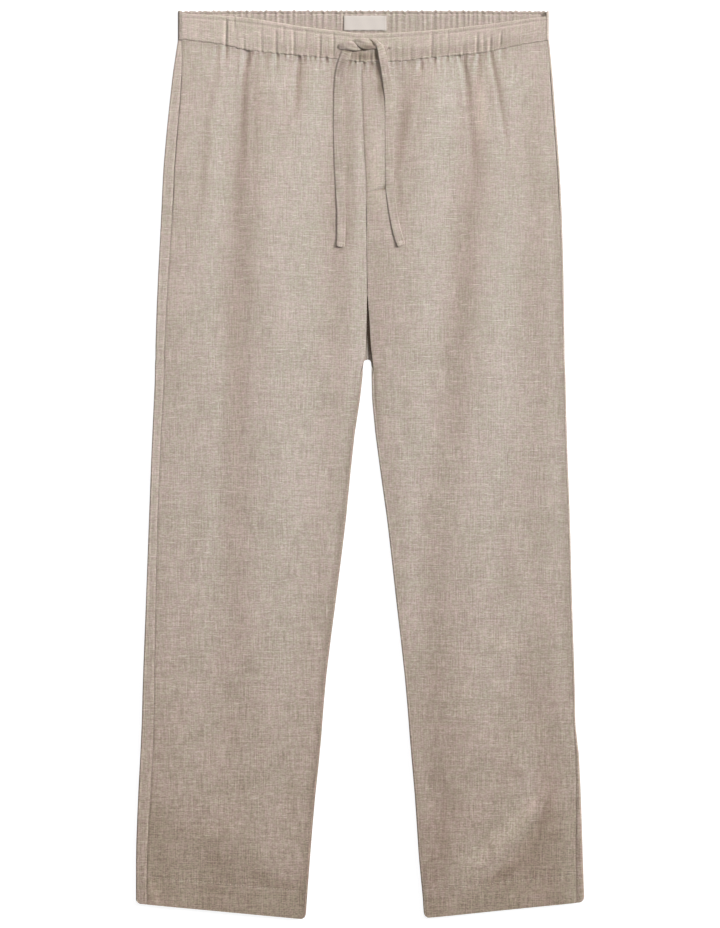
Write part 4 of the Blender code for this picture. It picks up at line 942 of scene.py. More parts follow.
class Plan:
    """Seams, edges and faces of the trousers as functions, read from the frame."""

    STATION = 0.0060  # distance between stations up a leg, and how far they keep from corners
    CROTCH = (0.0980, 0.1300)  # from and to which y an inner edge has these stations instead
    CROTCH_STATIONS = ((0.1000, 0.1208, 0.0016), (0.1222, 0.1236, 0.0007))
    SEAT_END = 0.1400  # y down to which a back's edge is read, above the crotch's opening
    UNEVEN = 0.00011  # height of the slow unevenness of the fronts
    DRAWN_IN = 0.0005  # how deep the waist seam draws the fronts in between its gathers
    SEAM_ROLL = 0.0003  # how high the cloth rolls up beside that seam
    HEM_GROOVE = 0.00035  # how deep the hem's stitching lies
    OUTER_GROOVE = 0.00025  # how far a front falls at its side seam
    INNER_GROOVE = 0.00018  # and at its inner seam, up to the fly
    LAP_FALL = 0.00045  # how far the fly's lap falls at its edge
    LOWEST_FRONT = 0.0024  # no point of a front's face lies lower

    def __init__(self):
        low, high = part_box("waistband_front")
        places = stations(low[0] + 0.001, high[0] - 0.001, 0.004)
        seam, top = extent("waistband_front", 0, places)
        self.waist_x = places
        self.waist_y = seam - SEAM_GAP / 2
        self.top_y = top
        self.right_end = low[0]
        self.left_end = high[0]
        self.low_x, self.high_x, self.back_low, self.back_high = {}, {}, {}, {}
        for side in SIDES:
            (outer_x, outer_y), (_, inner_y) = HEM_ENDS[side]
            outer = stations(outer_y + self.STATION, self.waist(0.95 * outer_x) - 0.003, self.STATION)
            inner = stations(inner_y + self.STATION, self.waist(0.0) - self.STATION, self.STATION)
            inner = np.concatenate([
                inner[inner < self.CROTCH[0]], *[stations(*row) for row in self.CROTCH_STATIONS],
                inner[inner > self.CROTCH[1]]])
            low_y, high_y = (outer, inner) if side == "right" else (inner, outer)
            self.low_x[side] = line(low_y, extent(f"front_{side}", 1, low_y)[0])
            self.high_x[side] = line(high_y, extent(f"front_{side}", 1, high_y)[1])
            back_low = extent(f"back_{side}", 1, low_y)[0]
            back_high = extent(f"back_{side}", 1, high_y)[1]
            self.back_low[side] = line(low_y, self.whole_seat(low_y, back_low))
            self.back_high[side] = line(high_y, self.whole_seat(high_y, back_high))
        loose_edge = self.low_x["left"]
        self.low_x["left"] = lambda y: loose_edge(y) - self.drawn_tight(y, loose_edge)
        self.form = {side: Form(f"front_{side}") for side in SIDES}
        self.ripple = ripples(seed=5, count=14, shortest=0.018, longest=0.075)
        self.gathers = Gathers(
            seed=11, start=-0.1590, end=0.1770, spacing=0.0064, height=0.0013, fade=0.0200)
        self.puckers = Gathers(
            seed=37, start=-0.1570, end=0.1750, spacing=0.0048, height=0.0010, fade=0.0065)

    def whole_seat(self, places, edge):
        """A back's edge, with the seat's seam closed down to the crotch's opening."""
        above = (places > CROTCH_OPENING) & (places < self.SEAT_END)
        return np.where(above, np.interp(self.SEAT_END, places, edge), edge)

    def waist(self, x):
        """The waist seam, which the gathers make a little wavy."""
        wave = np.sin(757.0 * x) + 0.8 * np.sin(459.0 * x + 1.0)
        return np.interp(x, self.waist_x, self.waist_y) + WAIST_WAVE * wave

    def band_top(self, x):
        """y of the front waistband's top edge."""
        return np.interp(x, self.waist_x, self.top_y)

    def hem(self, side, x):
        """Height of the hem, with its two corners rounded."""
        (outer_x, outer_y), (inner_x, inner_y) = HEM_ENDS[side]
        y = outer_y + (x - outer_x) / (inner_x - outer_x) * (inner_y - outer_y)
        beyond = np.maximum(min(outer_x, inner_x) - x, x - max(outer_x, inner_x))
        short = np.clip(HEM_ROUNDING + beyond, 0.0, HEM_ROUNDING)
        return y + HEM_ROUNDING - np.sqrt(HEM_ROUNDING ** 2 - short ** 2)

    def outer_seam(self, side, y):
        """x of a front's edge at its side seam."""
        return self.low_x[side](y) if side == "right" else self.high_x[side](y)

    def inner_seam(self, side, y):
        """x of its edge at the inner leg, and above it at the centre of the trousers."""
        return self.high_x[side](y) if side == "right" else self.low_x[side](y)

    def back_edges(self, side):
        """The outer and the inner edge of a back, as functions of y."""
        edges = (self.back_low[side], self.back_high[side])
        return edges if side == "right" else edges[::-1]

    def front(self, side, x, y):
        """Height of a front's outer face."""
        below = self.waist(x) - y
        z = self.form[side](x, y) + self.UNEVEN * self.ripple(x, y)
        z += creases_height(CREASES[side], x, y)
        gathered = ramp(x, -0.1620, -0.1540) * ramp(x, 0.1800, 0.1720)
        z += self.gathers.height(x, below) + self.puckers.height(x, np.maximum(below, 0.0))
        z -= self.DRAWN_IN * gathered * self.seam_depth(x) * np.exp(-np.abs(below) / 0.006)
        z += self.SEAM_ROLL * ridge(below, 0.0030)
        hem_line = y - self.hem(side, x) - HEM_DEPTH
        z -= self.HEM_GROOVE * bump(hem_line, 0.0022)
        z += 0.00012 * bump(hem_line, 0.0120) * np.sin(y * 90.0 + x * 700.0)
        z -= self.OUTER_GROOVE * ridge(x - self.outer_seam(side, y), SEAM_GROOVE_WIDTH)
        inner = self.INNER_GROOVE * ramp(y, 0.3150, 0.3050)
        z -= inner * ridge(x - self.inner_seam(side, y), SEAM_GROOVE_WIDTH)
        if side == "right":
            z += np.interp(y, *np.transpose(FLY_LIFT)) * bump(x - 0.0050, 0.0140)
        else:
            z -= self.LAP_FALL * self.lap_share(x, y)
        return np.maximum(z, self.LOWEST_FRONT)

    @staticmethod
    def seam_depth(x):
        """How deep the waist seam is drawn in, which is uneven along it."""
        return np.clip(0.40 + 0.30 * np.sin(310.0 * x + 1.0) + 0.30 * np.sin(733.0 * x), 0.0, 1.0)

    def lap_share(self, x, y):
        """1 at the edge of the mock fly's lap and 0 away from it."""
        above = ramp(y, 0.3010, 0.3090)
        near = ramp(x - self.low_x["left"](y), 0.0045, 0.0)
        return above * near ** 2

    def drawn_tight(self, y, edge):
        """How far the left front's edge moves over where the centre seam is closed."""
        tight = ramp(y, 0.3030, 0.3080) + 0.85 * bump(y - 0.2650, 0.0080)
        tight = tight + bump(y - 0.2020, 0.0060) + 0.14 * bump(y - 0.1450, 0.0300)
        return tight * np.maximum(edge(y) - self.high_x["right"](y) - 0.0002, 0.0)

    def cloth(self, x, y):
        """Height of the uppermost cloth at places near the fly."""
        on_left = x > self.low_x["left"](y)
        front = np.where(on_left, self.front("left", x, y), self.front("right", x, y))
        return np.where(y > self.waist(x), self.band(x, y), front)

    def band(self, x, y):
        """Height of the front waistband's outer face."""
        seam = self.waist(x)
        share = (y - seam) / (self.band_top(x) - seam)
        return BAND_UNDER + BAND_CLOTH + self.band_relief(x, share)

    def band_relief(self, x, share):
        """Gathers and creases of the front waistband above its plain thickness."""
        height = BAND_HEIGHT * share
        relief = 0.35 * self.gathers.height(x, np.maximum(height, 0.0) * 0.5)
        relief += 0.16 * self.gathers.height(x, np.full(np.shape(x), 0.004)) * (0.4 + 0.6 * share)
        relief += self.puckers.height(x, np.maximum(height, 0.0))
        for place, depth, half_width, start, end, lean in BAND_CREASES:
            reach = ramp(share, start, start + 0.25) * ramp(share, end, end - 0.25)
            relief = relief - 0.75 * depth * reach * bump(x - place - lean * (share - 0.5), half_width)
        relief = relief + 0.00008 * self.ripple(1.3 * x, height)
        relief = relief - 0.00045 * bump(BAND_HEIGHT - ROW_INSET - height, 0.0018)
        relief = relief - 0.00030 * self.seam_depth(x) * ridge(height, SEAM_GROOVE_WIDTH)
        for hole_x, hole_y in HOLES:
            away = np.hypot((x - hole_x) / 0.0042, (self.waist(x) + height - hole_y) / 0.0022)
            relief = relief - 0.0016 * bump(away, 1.0)
        return relief


# ---------------------------------------------------------------- mesh makers


def deselect():
    bpy.ops.object.select_all(action="DESELECT")


def activate(piece):
    deselect()
    piece.select_set(True)
    bpy.context.view_layer.objects.active = piece


def new_grid(name, points, flat):
    """A grid primitive whose points are laid where the array says, with its flat layout as UVs."""
    rows, columns = points.shape[:2]
    deselect()
    bpy.ops.mesh.primitive_grid_add(x_subdivisions=columns - 1, y_subdivisions=rows - 1, size=2.0)
    piece = bpy.context.active_object
    piece.name = name
    mesh = piece.data
    mesh.name = name
    start = np.zeros(3 * len(mesh.vertices))
    mesh.vertices.foreach_get("co", start)
    start = start.reshape(-1, 3)
    col = np.rint((start[:, 0] + 1.0) / 2.0 * (columns - 1)).astype(int)
    row = np.rint((start[:, 1] + 1.0) / 2.0 * (rows - 1)).astype(int)
    mesh.vertices.foreach_set("co", points[row, col].ravel())
    corners = np.zeros(len(mesh.loops), int)
    mesh.loops.foreach_get("vertex_index", corners)
    mesh.uv_layers.active.data.foreach_set("uv", flat[row, col][corners].ravel())
    mesh.update()
    return piece


def apply_modifier(piece, kind, **settings):
    activate(piece)
    modifier = piece.modifiers.new(kind.lower(), kind)
    for name, value in settings.items():
        setattr(modifier, name, value)
    bpy.ops.object.modifier_apply(modifier=modifier.name)


def finish_piece(piece, material, node=None, angle=50.0):
    """Material, smooth shading, its ride, and the CAD node that it stands for."""
    activate(piece)
    piece.data.materials.clear()
    piece.data.materials.append(material)
    bpy.ops.object.shade_smooth_by_angle(angle=math.radians(angle))
    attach(piece, BODY)
    if node:
        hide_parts(node)


def weld(piece):
    """Closes a seam whose points lie on each other and fills the open ends."""
    activate(piece)
    bpy.ops.object.mode_set(mode="EDIT")
    bpy.ops.mesh.select_all(action="SELECT")
    bpy.ops.mesh.remove_doubles(threshold=0.00001)
    bpy.ops.mesh.select_all(action="DESELECT")
    bpy.ops.mesh.select_mode(type="EDGE")
    bpy.ops.mesh.select_non_manifold()
    bpy.ops.mesh.fill_holes(sides=0)
    bpy.ops.mesh.select_all(action="SELECT")
    bpy.ops.mesh.normals_make_consistent(inside=False)
    bpy.ops.object.mode_set(mode="OBJECT")


def cloth_thickness(piece, thickness, shares=None):
    """Gives a sheet its thickness on the inner side, or a share of it at each point."""
    group = ""
    if shares is not None:
        group = "thickness"
        weights = piece.vertex_groups.new(name=group)
        for index, share in enumerate(shares):
            weights.add([index], float(share), "REPLACE")
    apply_modifier(piece, "SOLIDIFY", thickness=thickness, offset=-1.0, vertex_group=group)
    piece.vertex_groups.clear()


def set_painted_shading(piece, tone, shade=0.0):
    """Gives each point the factor of its colour, which paints light and shade on it. Painted dark places
    and shaded slopes are warmer.
    """
    light = (1.0 + tone) ** SCREEN_GAMMA
    factors = [
        light ** np.where(light < 1.0, power, 1.0) * (1.0 + warmth * shade)
        for power, warmth in ((0.88, 0.25), (1.0, -0.04), (1.14, -0.15))]
    attribute = piece.data.attributes.new("tone", "FLOAT_VECTOR", "POINT")
    attribute.data.foreach_set("vector", np.column_stack(factors).ravel())


def paint_front_shading(piece, plan, side):
    """The painted light and shade of a front, and a painted warmer colour where it slopes away from the key
    light, cooler where it faces it.
    """
    x, y, _ = vertex_places(piece)
    tone = creases_height(FRONT_PAINTED_SHADING[side], x, y)
    for front, edge, strength, reach, from_y, to_y in EDGE_PAINTED_SHADE:
        if front == side:
            seam = plan.outer_seam(side, y) if edge == "outer" else plan.inner_seam(side, y)
            window = ramp(y, from_y, from_y + 0.05) * ramp(y, to_y, to_y - 0.05)
            tone = tone + strength * window * ridge(x - seam, reach)
    slope = (plan.front(side, x + 0.0015, y) - plan.front(side, x - 0.0015, y)) / 0.003
    set_painted_shading(piece, tone, np.clip(slope, -0.25, 0.25))


def vertex_places(piece):
    """The x, y and z of each point of a piece."""
    co = np.zeros(3 * len(piece.data.vertices))
    piece.data.vertices.foreach_get("co", co)
    return co.reshape(-1, 3).T


def leg_thickness(piece, plan, side, settings, lap=False):
    """Thickness of a leg panel: more in the turned-up hem, less at the edge of the fly's lap."""
    x, y, _ = vertex_places(piece)
    in_hem = ramp(y - plan.hem(side, x) - HEM_DEPTH, 0.0, -0.0020)
    thickness = settings.cloth + (settings.hem_cloth - settings.cloth) * in_hem
    if lap:
        thickness = thickness - (settings.cloth - THIN_LAP) * plan.lap_share(x, y)
    cloth_thickness(piece, settings.hem_cloth, thickness / settings.hem_cloth)


def surface_area(points):
    """Area of a grid of points."""
    across = points[:-1, 1:] - points[:-1, :-1]
    along = points[1:, :-1] - points[:-1, :-1]
    return float(np.linalg.norm(np.cross(across, along), axis=2).sum())


def lengths_along(points, axis):
    """Length of the way to each point of a grid from the first one, along its rows or columns."""
    steps = np.linalg.norm(np.diff(points, axis=axis), axis=2)
    return np.concatenate([np.zeros_like(steps.take([0], axis)), np.cumsum(steps, axis=axis)], axis=axis)


def declare_panel(width, points):
    """Works out what a leg panel is cut to, its face with its seams and its hem, but passes it on nowhere.
    """
    width = width + SIDE_SEAMS
    length = float(np.ptp(points[:, :, 1])) + END_SEAMS
    area = min(surface_area(points) + SEAMS_AREA, width * length)


class Sewing:
    """Rows of thread stitches that are joined in one mesh."""

    BAR_STITCHES = 14

    def __init__(self, settings):
        self.settings = settings
        deselect()
        bpy.ops.mesh.primitive_uv_sphere_add(segments=6, ring_count=5, radius=1.0)
        ball = bpy.context.active_object
        points = np.zeros(3 * len(ball.data.vertices))
        ball.data.vertices.foreach_get("co", points)
        self.ball = points.reshape(-1, 3)[:, [2, 0, 1]]  # its poles lie along the stitch
        self.faces = [tuple(polygon.vertices) for polygon in ball.data.polygons]
        bpy.data.objects.remove(ball, do_unlink=True)
        self.points = []
        self.polygons = []

    def stitch(self, centre, way, length, width):
        """One stitch, bowed up in the middle and sunk into the cloth at both ends."""
        way = way / np.linalg.norm(way)
        side = np.cross((0.0, 0.0, 1.0), way)
        side = side / np.linalg.norm(side)
        up = np.cross(way, side)
        along, across, rise = self.ball.T
        bow = 0.35 * width * (1.0 - along ** 2) - 0.12 * width
        points = (
            centre + np.outer(along * length / 2, way) + np.outer(across * width / 2, side)
            + np.outer(rise * width / 2 + bow, up))
        first = len(self.points) * len(self.ball)
        self.points.append(points)
        self.polygons += [tuple(first + index for index in face) for face in self.faces]

    def row(self, points, length=None, gap=None, width=None):
        """Stitches in line along points that lie on the cloth."""
        length = length or self.settings.length
        gap = gap or self.settings.gap
        width = width or self.settings.width
        points = np.asarray(points, float)
        steps = np.linalg.norm(np.diff(points, axis=0), axis=1)
        far = np.concatenate([[0.0], np.cumsum(steps)])
        places = np.arange(length / 2, far[-1] - length / 2, length + gap)

        def at(place):
            return np.array([np.interp(place, far, points[:, axis]) for axis in range(3)])

        for place in places:
            way = at(place + length / 2) - at(place - length / 2)
            self.stitch(at(place), way, length, width)

    def bar(self, start, end, reach):
        """A bar tack: close stitches across the line from start to end."""
        way = end - start
        along = way / np.linalg.norm(way)
        across = np.cross((0.0, 0.0, 1.0), along)
        for index in range(self.BAR_STITCHES):
            centre = start + way * (index + 0.5) / self.BAR_STITCHES
            lean = 0.12 if index % 2 else -0.12
            self.stitch(centre, across + lean * along, reach, self.settings.width)

    def piece(self, name, material):
        """The stitches so far as one piece."""
        mesh = bpy.data.meshes.new(name)
        mesh.from_pydata(np.concatenate(self.points).tolist(), [], self.polygons)
        mesh.update()
        piece = bpy.data.objects.new(name, mesh)
        bpy.context.scene.collection.objects.link(piece)
        finish_piece(piece, material, angle=80.0)


# --------------------------------------------------------------------- pieces


def panel_rises(length, first, stretches, leg, hem_step):
    """Shares of a leg panel's length at its rows of points, from the hem up.

    leg is where the plain rows of the leg start, from the top, and their step."""
    leg_start, leg_step = leg
    from_top = np.concatenate([
        [0.0, first], *[np.arange(*stretch) for stretch in stretches],
        np.arange(leg_start, length - 0.0460, leg_step),
        np.arange(length - 0.0420, length - 0.0060, hem_step),
        [length - 0.003, length - 0.001, length]])
    return 1.0 - from_top[::-1] / length


def front_layout(side, plan):
    """Points and flat layout of a front, from its edge at -X and from its hem up."""
    edge = np.array([0.0, 0.0012, 0.0032, 0.0065, 0.0110])  # closer columns beside the seams
    shares = np.concatenate([edge, np.linspace(0.017, 0.983, 146), 1.0 - edge[::-1]])
    length = plan.waist(0.0) - HEM_ENDS[side][1][1]
    rises = panel_rises(
        length, first=0.0007, stretches=FRONT_ROWS, leg=(0.1660, 0.0043), hem_step=0.0018)
    across, rise = np.meshgrid(shares, rises)
    x = np.full(across.shape, LEG_MIDDLE * OUT[side])
    for _ in range(6):
        y = plan.hem(side, x) + rise * (plan.waist(x) + TIGHT_SHARE * SEAM_GAP - plan.hem(side, x))
        low = plan.low_x[side](y)
        x = low + across * (plan.high_x[side](y) - low)
    in_pocket = (y > POCKET_Y[0]) & (y < POCKET_Y[1])
    outer_share = 1.0 - across if side == "left" else across
    x = x - OUT[side] * POCKET_GAPE * in_pocket * bump(outer_share, 0.02)
    return np.stack([x, y, plan.front(side, x, y)], axis=2), np.stack([x, y], axis=2)


def make_front(side, plan, settings, material):
    """A leg's front, with its hem and, on the left one, the mock fly's lap."""
    points, flat = front_layout(side, plan)
    piece = new_grid(f"front_{side}_linen", points, flat)
    paint_front_shading(piece, plan, side)
    leg_thickness(piece, plan, side, settings, lap=side == "left")
    finish_piece(piece, material, f"front_{side}")
    declare_panel(float(np.ptp(points[:, :, 0])), points)


def turned(edge_x, direction, radius, turn, lap, arc, tail):
    """Rows of a wall's section (x, z) from its flat part, round an edge and along its lap.

    turn is 0 where the wall stays flat and 1 where it makes a full half turn. arc and
    tail are shares of the way round and along the lap."""
    centre = edge_x - direction * (radius + SHORT_LAP * (1 - turn))
    angle = math.pi * turn[:, None] * arc
    reach = turn[:, None] * radius * np.sin(angle) + (1 - turn[:, None]) * radius * arc
    x = centre[:, None] + direction * reach
    z = radius * (1 - np.cos(angle))
    end = math.pi * turn
    length = np.maximum((lap - radius) * turn, SHORT_LAP)
    lap_x = x[:, -1:] + direction * (length * np.cos(end))[:, None] * tail
    lap_z = z[:, -1:] + (length * np.sin(end))[:, None] * tail
    return np.concatenate([x, lap_x], axis=1), np.concatenate([z, lap_z], axis=1)


def back_rows(side, plan):
    """The rows of points up a back, as a function that gives their y at each x."""
    low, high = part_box(f"back_{side}")
    top_y = line(
        np.array((low[0] + 0.02, high[0] - 0.02)),
        extent(f"back_{side}", 0, (0.16 * OUT[side], 0.10 * OUT[side]))[1])
    rise = panel_rises(
        high[1] - HEM_ENDS[side][1][1], first=0.0010, stretches=BACK_ROWS, leg=(0.4140, 0.0060),
        hem_step=0.0024)

    def row_y(x):
        hem = plan.hem(side, x)
        share = rise[:, None] if np.ndim(x) == 2 else rise
        return hem + share * (top_y(x) - hem)

    return row_y, rise.shape


def back_layout(side, plan):
    """Points and flat layout of a back, from its inner lap round under to its side seam."""
    out = OUT[side]
    row_y, count = back_rows(side, plan)
    outer_line, inner_line = plan.back_edges(side)
    inner_x = np.full(count, 0.05 * out)
    outer_x = np.full(count, 0.24 * out)
    for _ in range(5):
        inner_x = inner_line(row_y(inner_x))
        outer_x = outer_line(row_y(outer_x))
    turn = ramp(row_y(inner_x), CROTCH_BACK, CROTCH_BACK - LAP_RAMP)
    turn = turn * turn * (3 - 2 * turn)
    inner_x = inner_x - out * (0.5 * SEAM_GAP - 0.00001) * (1.0 - turn)
    seam = plan.outer_seam(side, row_y(outer_x))
    lap = np.abs(outer_x - seam) - SEAM_GAP
    arc = np.linspace(0.0, 1.0, 9)
    near = turned(inner_x, -out, EDGE_RADIUS, turn, np.full(count, INSEAM_LAP), arc, np.array([1.0]))
    far = turned(outer_x, out, EDGE_RADIUS, np.ones(count), lap, arc, np.linspace(0.12, 1.0, 9))
    shares = np.linspace(0.0, 1.0, 74)[1:-1]
    flat_x = near[0][:, :1] + shares * (far[0][:, :1] - near[0][:, :1])
    x = np.concatenate([near[0][:, ::-1], flat_x, far[0]], axis=1)
    z = np.concatenate([near[1][:, ::-1], np.zeros(flat_x.shape), far[1]], axis=1)
    y = row_y(x)
    under = z < 0.0001
    hollow = creases_height(BACK_CREASES[side], x, y) * ramp(np.abs(x - outer_x[:, None]), 0.0, 0.02)
    seat_seam = (1.0 - turn)[:, None] * SEAT_GROOVE * ridge(x - inner_x[:, None], SEAM_GROOVE_WIDTH)
    z = np.where(under, np.maximum(hollow, seat_seam), z)
    upper = z > 1.9 * EDGE_RADIUS
    side_seam = 0.00040 * ridge(x - seam[:, None], SEAM_GROOVE_WIDTH)
    z = z + upper * (0.00010 * plan.ripple(x, y) - side_seam)
    points = np.stack([x, y, z], axis=2)
    flat = np.stack([out * (lengths_along(points, 1) - LEG_MIDDLE), y], axis=2)
    return (points, flat) if side == "right" else (points[:, ::-1], flat[:, ::-1])


def make_back(side, plan, settings, material):
    """A leg's back, turned up round the leg's edges."""
    points, flat = back_layout(side, plan)
    piece = new_grid(f"back_{side}_linen", points, flat)
    x, y, _ = vertex_places(piece)
    # Painted light and shade on the rims where the back turns up round the leg's edges; on the inner rim
    # only below the crotch's opening.
    outer, inner = (ridge(x - edge(y), RIM_REACH) for edge in plan.back_edges(side))
    outer_tone, inner_tone = RIM_PAINTED_SHADING[side]
    below_crotch = ramp(y, CROTCH_OPENING, CROTCH_OPENING - 0.02)
    set_painted_shading(piece, outer_tone * outer + inner_tone * below_crotch * inner)
    leg_thickness(piece, plan, side, settings)
    finish_piece(piece, material, f"back_{side}")
    declare_panel(float(np.ptp(flat[:, :, 0])), points)


def band_section(height):
    """Shares of the band's height and thickness round its section, from its inner bottom edge."""
    half = BAND_CLOTH / 2
    outer_rows = np.linspace(0.0, 1.0, 34)[1:-1]
    roll = np.linspace(0.0, math.pi, 9)
    inner_rows = np.concatenate([np.linspace(1.0, 0.84, 12), np.linspace(0.80, 0.0, 9)])[1:-1]
    distance = [(0.0, 0.25), (0.0, 0.75), (0.012, 0.96)]
    distance += [(0.015 + share * (0.985 - half / height - 0.015), 1.0) for share in outer_rows]
    top = 1.0 - half / height
    distance += [(top + half / height * math.sin(angle), 0.5 + 0.5 * math.cos(angle)) for angle in roll]
    distance += [(0.015 + share * (top - 0.030), 0.0) for share in inner_rows]
    distance += [(0.012, 0.04), (0.0, 0.25)]
    return np.array(distance)


def make_band_front(plan, material):
    """The front waistband: a folded, gathered band with round edges."""
    section = band_section(BAND_HEIGHT)
    x = np.linspace(plan.right_end, plan.left_end, 380)
    across, share = np.meshgrid(x, section[:, 0])
    part = np.repeat(section[:, 1:], len(x), axis=1)
    seam = plan.waist(across) + (1.0 - TIGHT_SHARE) * SEAM_GAP
    y = seam + share * (plan.band_top(across) - seam)
    relief = plan.band_relief(across, share)
    z = BAND_UNDER + BAND_CLOTH * part + relief * part + np.maximum(relief, 0.0) * 0.5 * (1 - part)
    points = np.stack([across, y, z], axis=2)
    flat = np.stack([across, 0.50 + lengths_along(points, 0)], axis=2)
    piece = new_grid("waistband_front_linen", points, flat)
    x, y, _ = vertex_places(piece)
    share = (y - plan.waist(x)) / (plan.band_top(x) - plan.waist(x))
    # Painted shade on the front waistband: a soft darker strip above its seam and the knot's shadow just
    # below the knot, over a slight painted lightening, with the knot's painted shadows added.
    low_shade = np.interp(x, (-0.16, -0.12, -0.05, 0.16, 0.21), (0.0, 0.3, 1.0, 1.0, 0.3))
    tone = 0.02 - 0.09 * low_shade * bump(share - 0.22, 0.34)
    tone = tone - 0.20 * bump(x - 0.0040, 0.0220) * bump(share - 0.20, 0.24)
    set_painted_shading(piece, tone + creases_height(KNOT_PAINTED_SHADOWS["waistband"], x, y))
    weld(piece)
    finish_piece(piece, material, "waistband_front")


def make_band_back(material):
    """The back waistband: flat on the surface, gathered on its inner face, turned up at its ends."""
    gathers = Gathers(seed=23, start=-0.2000, end=0.2080, spacing=0.0066, height=0.0009, fade=1.0)
    arc = np.linspace(0.0, 1.0, 9)
    one = np.ones(1)
    near = turned(BAND_ENDS[0] * one, -1.0, BAND_RADIUS, one, BAND_LAP * one, arc, np.array([0.5, 1.0]))
    far = turned(BAND_ENDS[1] * one, 1.0, BAND_RADIUS, one, BAND_RADIUS * one, arc, np.array([1.0]))
    flat_x = np.linspace(near[0][0, 0], far[0][0, 0], 400)[1:-1]
    path_x = np.concatenate([near[0][0, ::-1], flat_x, far[0][0]])
    path_z = np.concatenate([near[1][0, ::-1], np.zeros(flat_x.shape), far[1][0]])
    way = np.stack([np.gradient(path_x), np.gradient(path_z)], axis=1)
    way /= np.linalg.norm(way, axis=1)[:, None]
    inward = np.stack([-way[:, 1], way[:, 0]], axis=1)
    section = band_section(BACK_BAND_HEIGHT)
    low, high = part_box("waistband_back")
    seam = low[1]
    scallop = 0.0004 * np.sin(790.0 * path_x) + 0.0004 * np.sin(1130.0 * path_x + 1.0)
    scallop += 0.0002 * np.sin(410.0 * path_x + 2.0)
    top = high[1] - 0.0005 + scallop - 0.0008 * (path_x / BAND_ENDS[1]) ** 4
    wave = gathers.height(path_x, np.zeros(path_x.shape)) - 0.0003
    on_flat = ramp(path_z, 0.5 * BAND_RADIUS, 0.0)
    rows = []
    flat_rows = []
    for share, part in section:
        depth = BAND_CLOTH * (1.0 - part) * 0.86
        tunnel = bump(BACK_BAND_HEIGHT * (1.0 - share) - 0.0038, 0.0016)
        lift = on_flat * (wave * (0.35 + 0.65 * share) - 0.0005 * tunnel) * (1.0 - part)
        x = path_x + inward[:, 0] * depth
        z = path_z + inward[:, 1] * depth + lift
        y = seam + share * (top - seam)
        rows.append(np.stack([x, y, np.maximum(z, 0.0)], axis=1))
        round_it = np.full(path_x.shape, 0.50 + BACK_BAND_HEIGHT * share + 0.05 * part)
        flat_rows.append(np.stack([path_x, round_it], axis=1))
    piece = new_grid("waistband_back_linen", np.array(rows)[:, ::-1], np.array(flat_rows)[:, ::-1])
    weld(piece)
    finish_piece(piece, material, "waistband_back")


def make_facing(side, settings, material):
    """The strip of linen behind a pocket's opening."""
    low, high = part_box(f"pocket_facing_{side}")
    rows = np.linspace(low[1], high[1], 60)
    edges = extent(f"pocket_facing_{side}", 1, np.clip(rows, low[1] + 0.0005, high[1] - 0.0005))
    shares = np.linspace(0.0, 1.0, 12)
    x = edges[0][:, None] + shares * (edges[1] - edges[0])[:, None]
    y = np.repeat(rows[:, None], len(shares), axis=1)
    z = np.full(x.shape, high[2]) - 0.0002 * bump(x - x.mean(axis=1)[:, None], 0.006)
    piece = new_grid(f"pocket_facing_{side}_linen", np.stack([x, y, z], axis=2), np.stack([x, y], axis=2))
    cloth_thickness(piece, settings.cloth)
    finish_piece(piece, material, f"pocket_facing_{side}")


def make_label(material):
    """The bare label inside the back waistband, its ends turned under and sewn."""
    low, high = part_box("label")
    share, up = np.meshgrid(np.linspace(0.0, 1.0, 70), np.linspace(0.0, 1.0, 26))
    x = low[0] + share * (high[0] - low[0])
    y = low[1] + 0.0003 + up * (high[1] - low[1] - 0.0016) + 0.0002 * np.sin(31.0 * share)
    edge = np.minimum(np.minimum(share, 1 - share) * 0.05, np.minimum(up, 1 - up) * 0.0188)
    z = high[2] - 0.0005 + 0.00006 * np.sin(17.0 * share + 2.0 * up) - 0.0002 * np.exp(-edge / 0.0007)
    points = np.stack([x, y, z], axis=2)
    piece = new_grid("label_bare", points, np.stack([x, y], axis=2))
    cloth_thickness(piece, LABEL_CLOTH)
    finish_piece(piece, material, "label")


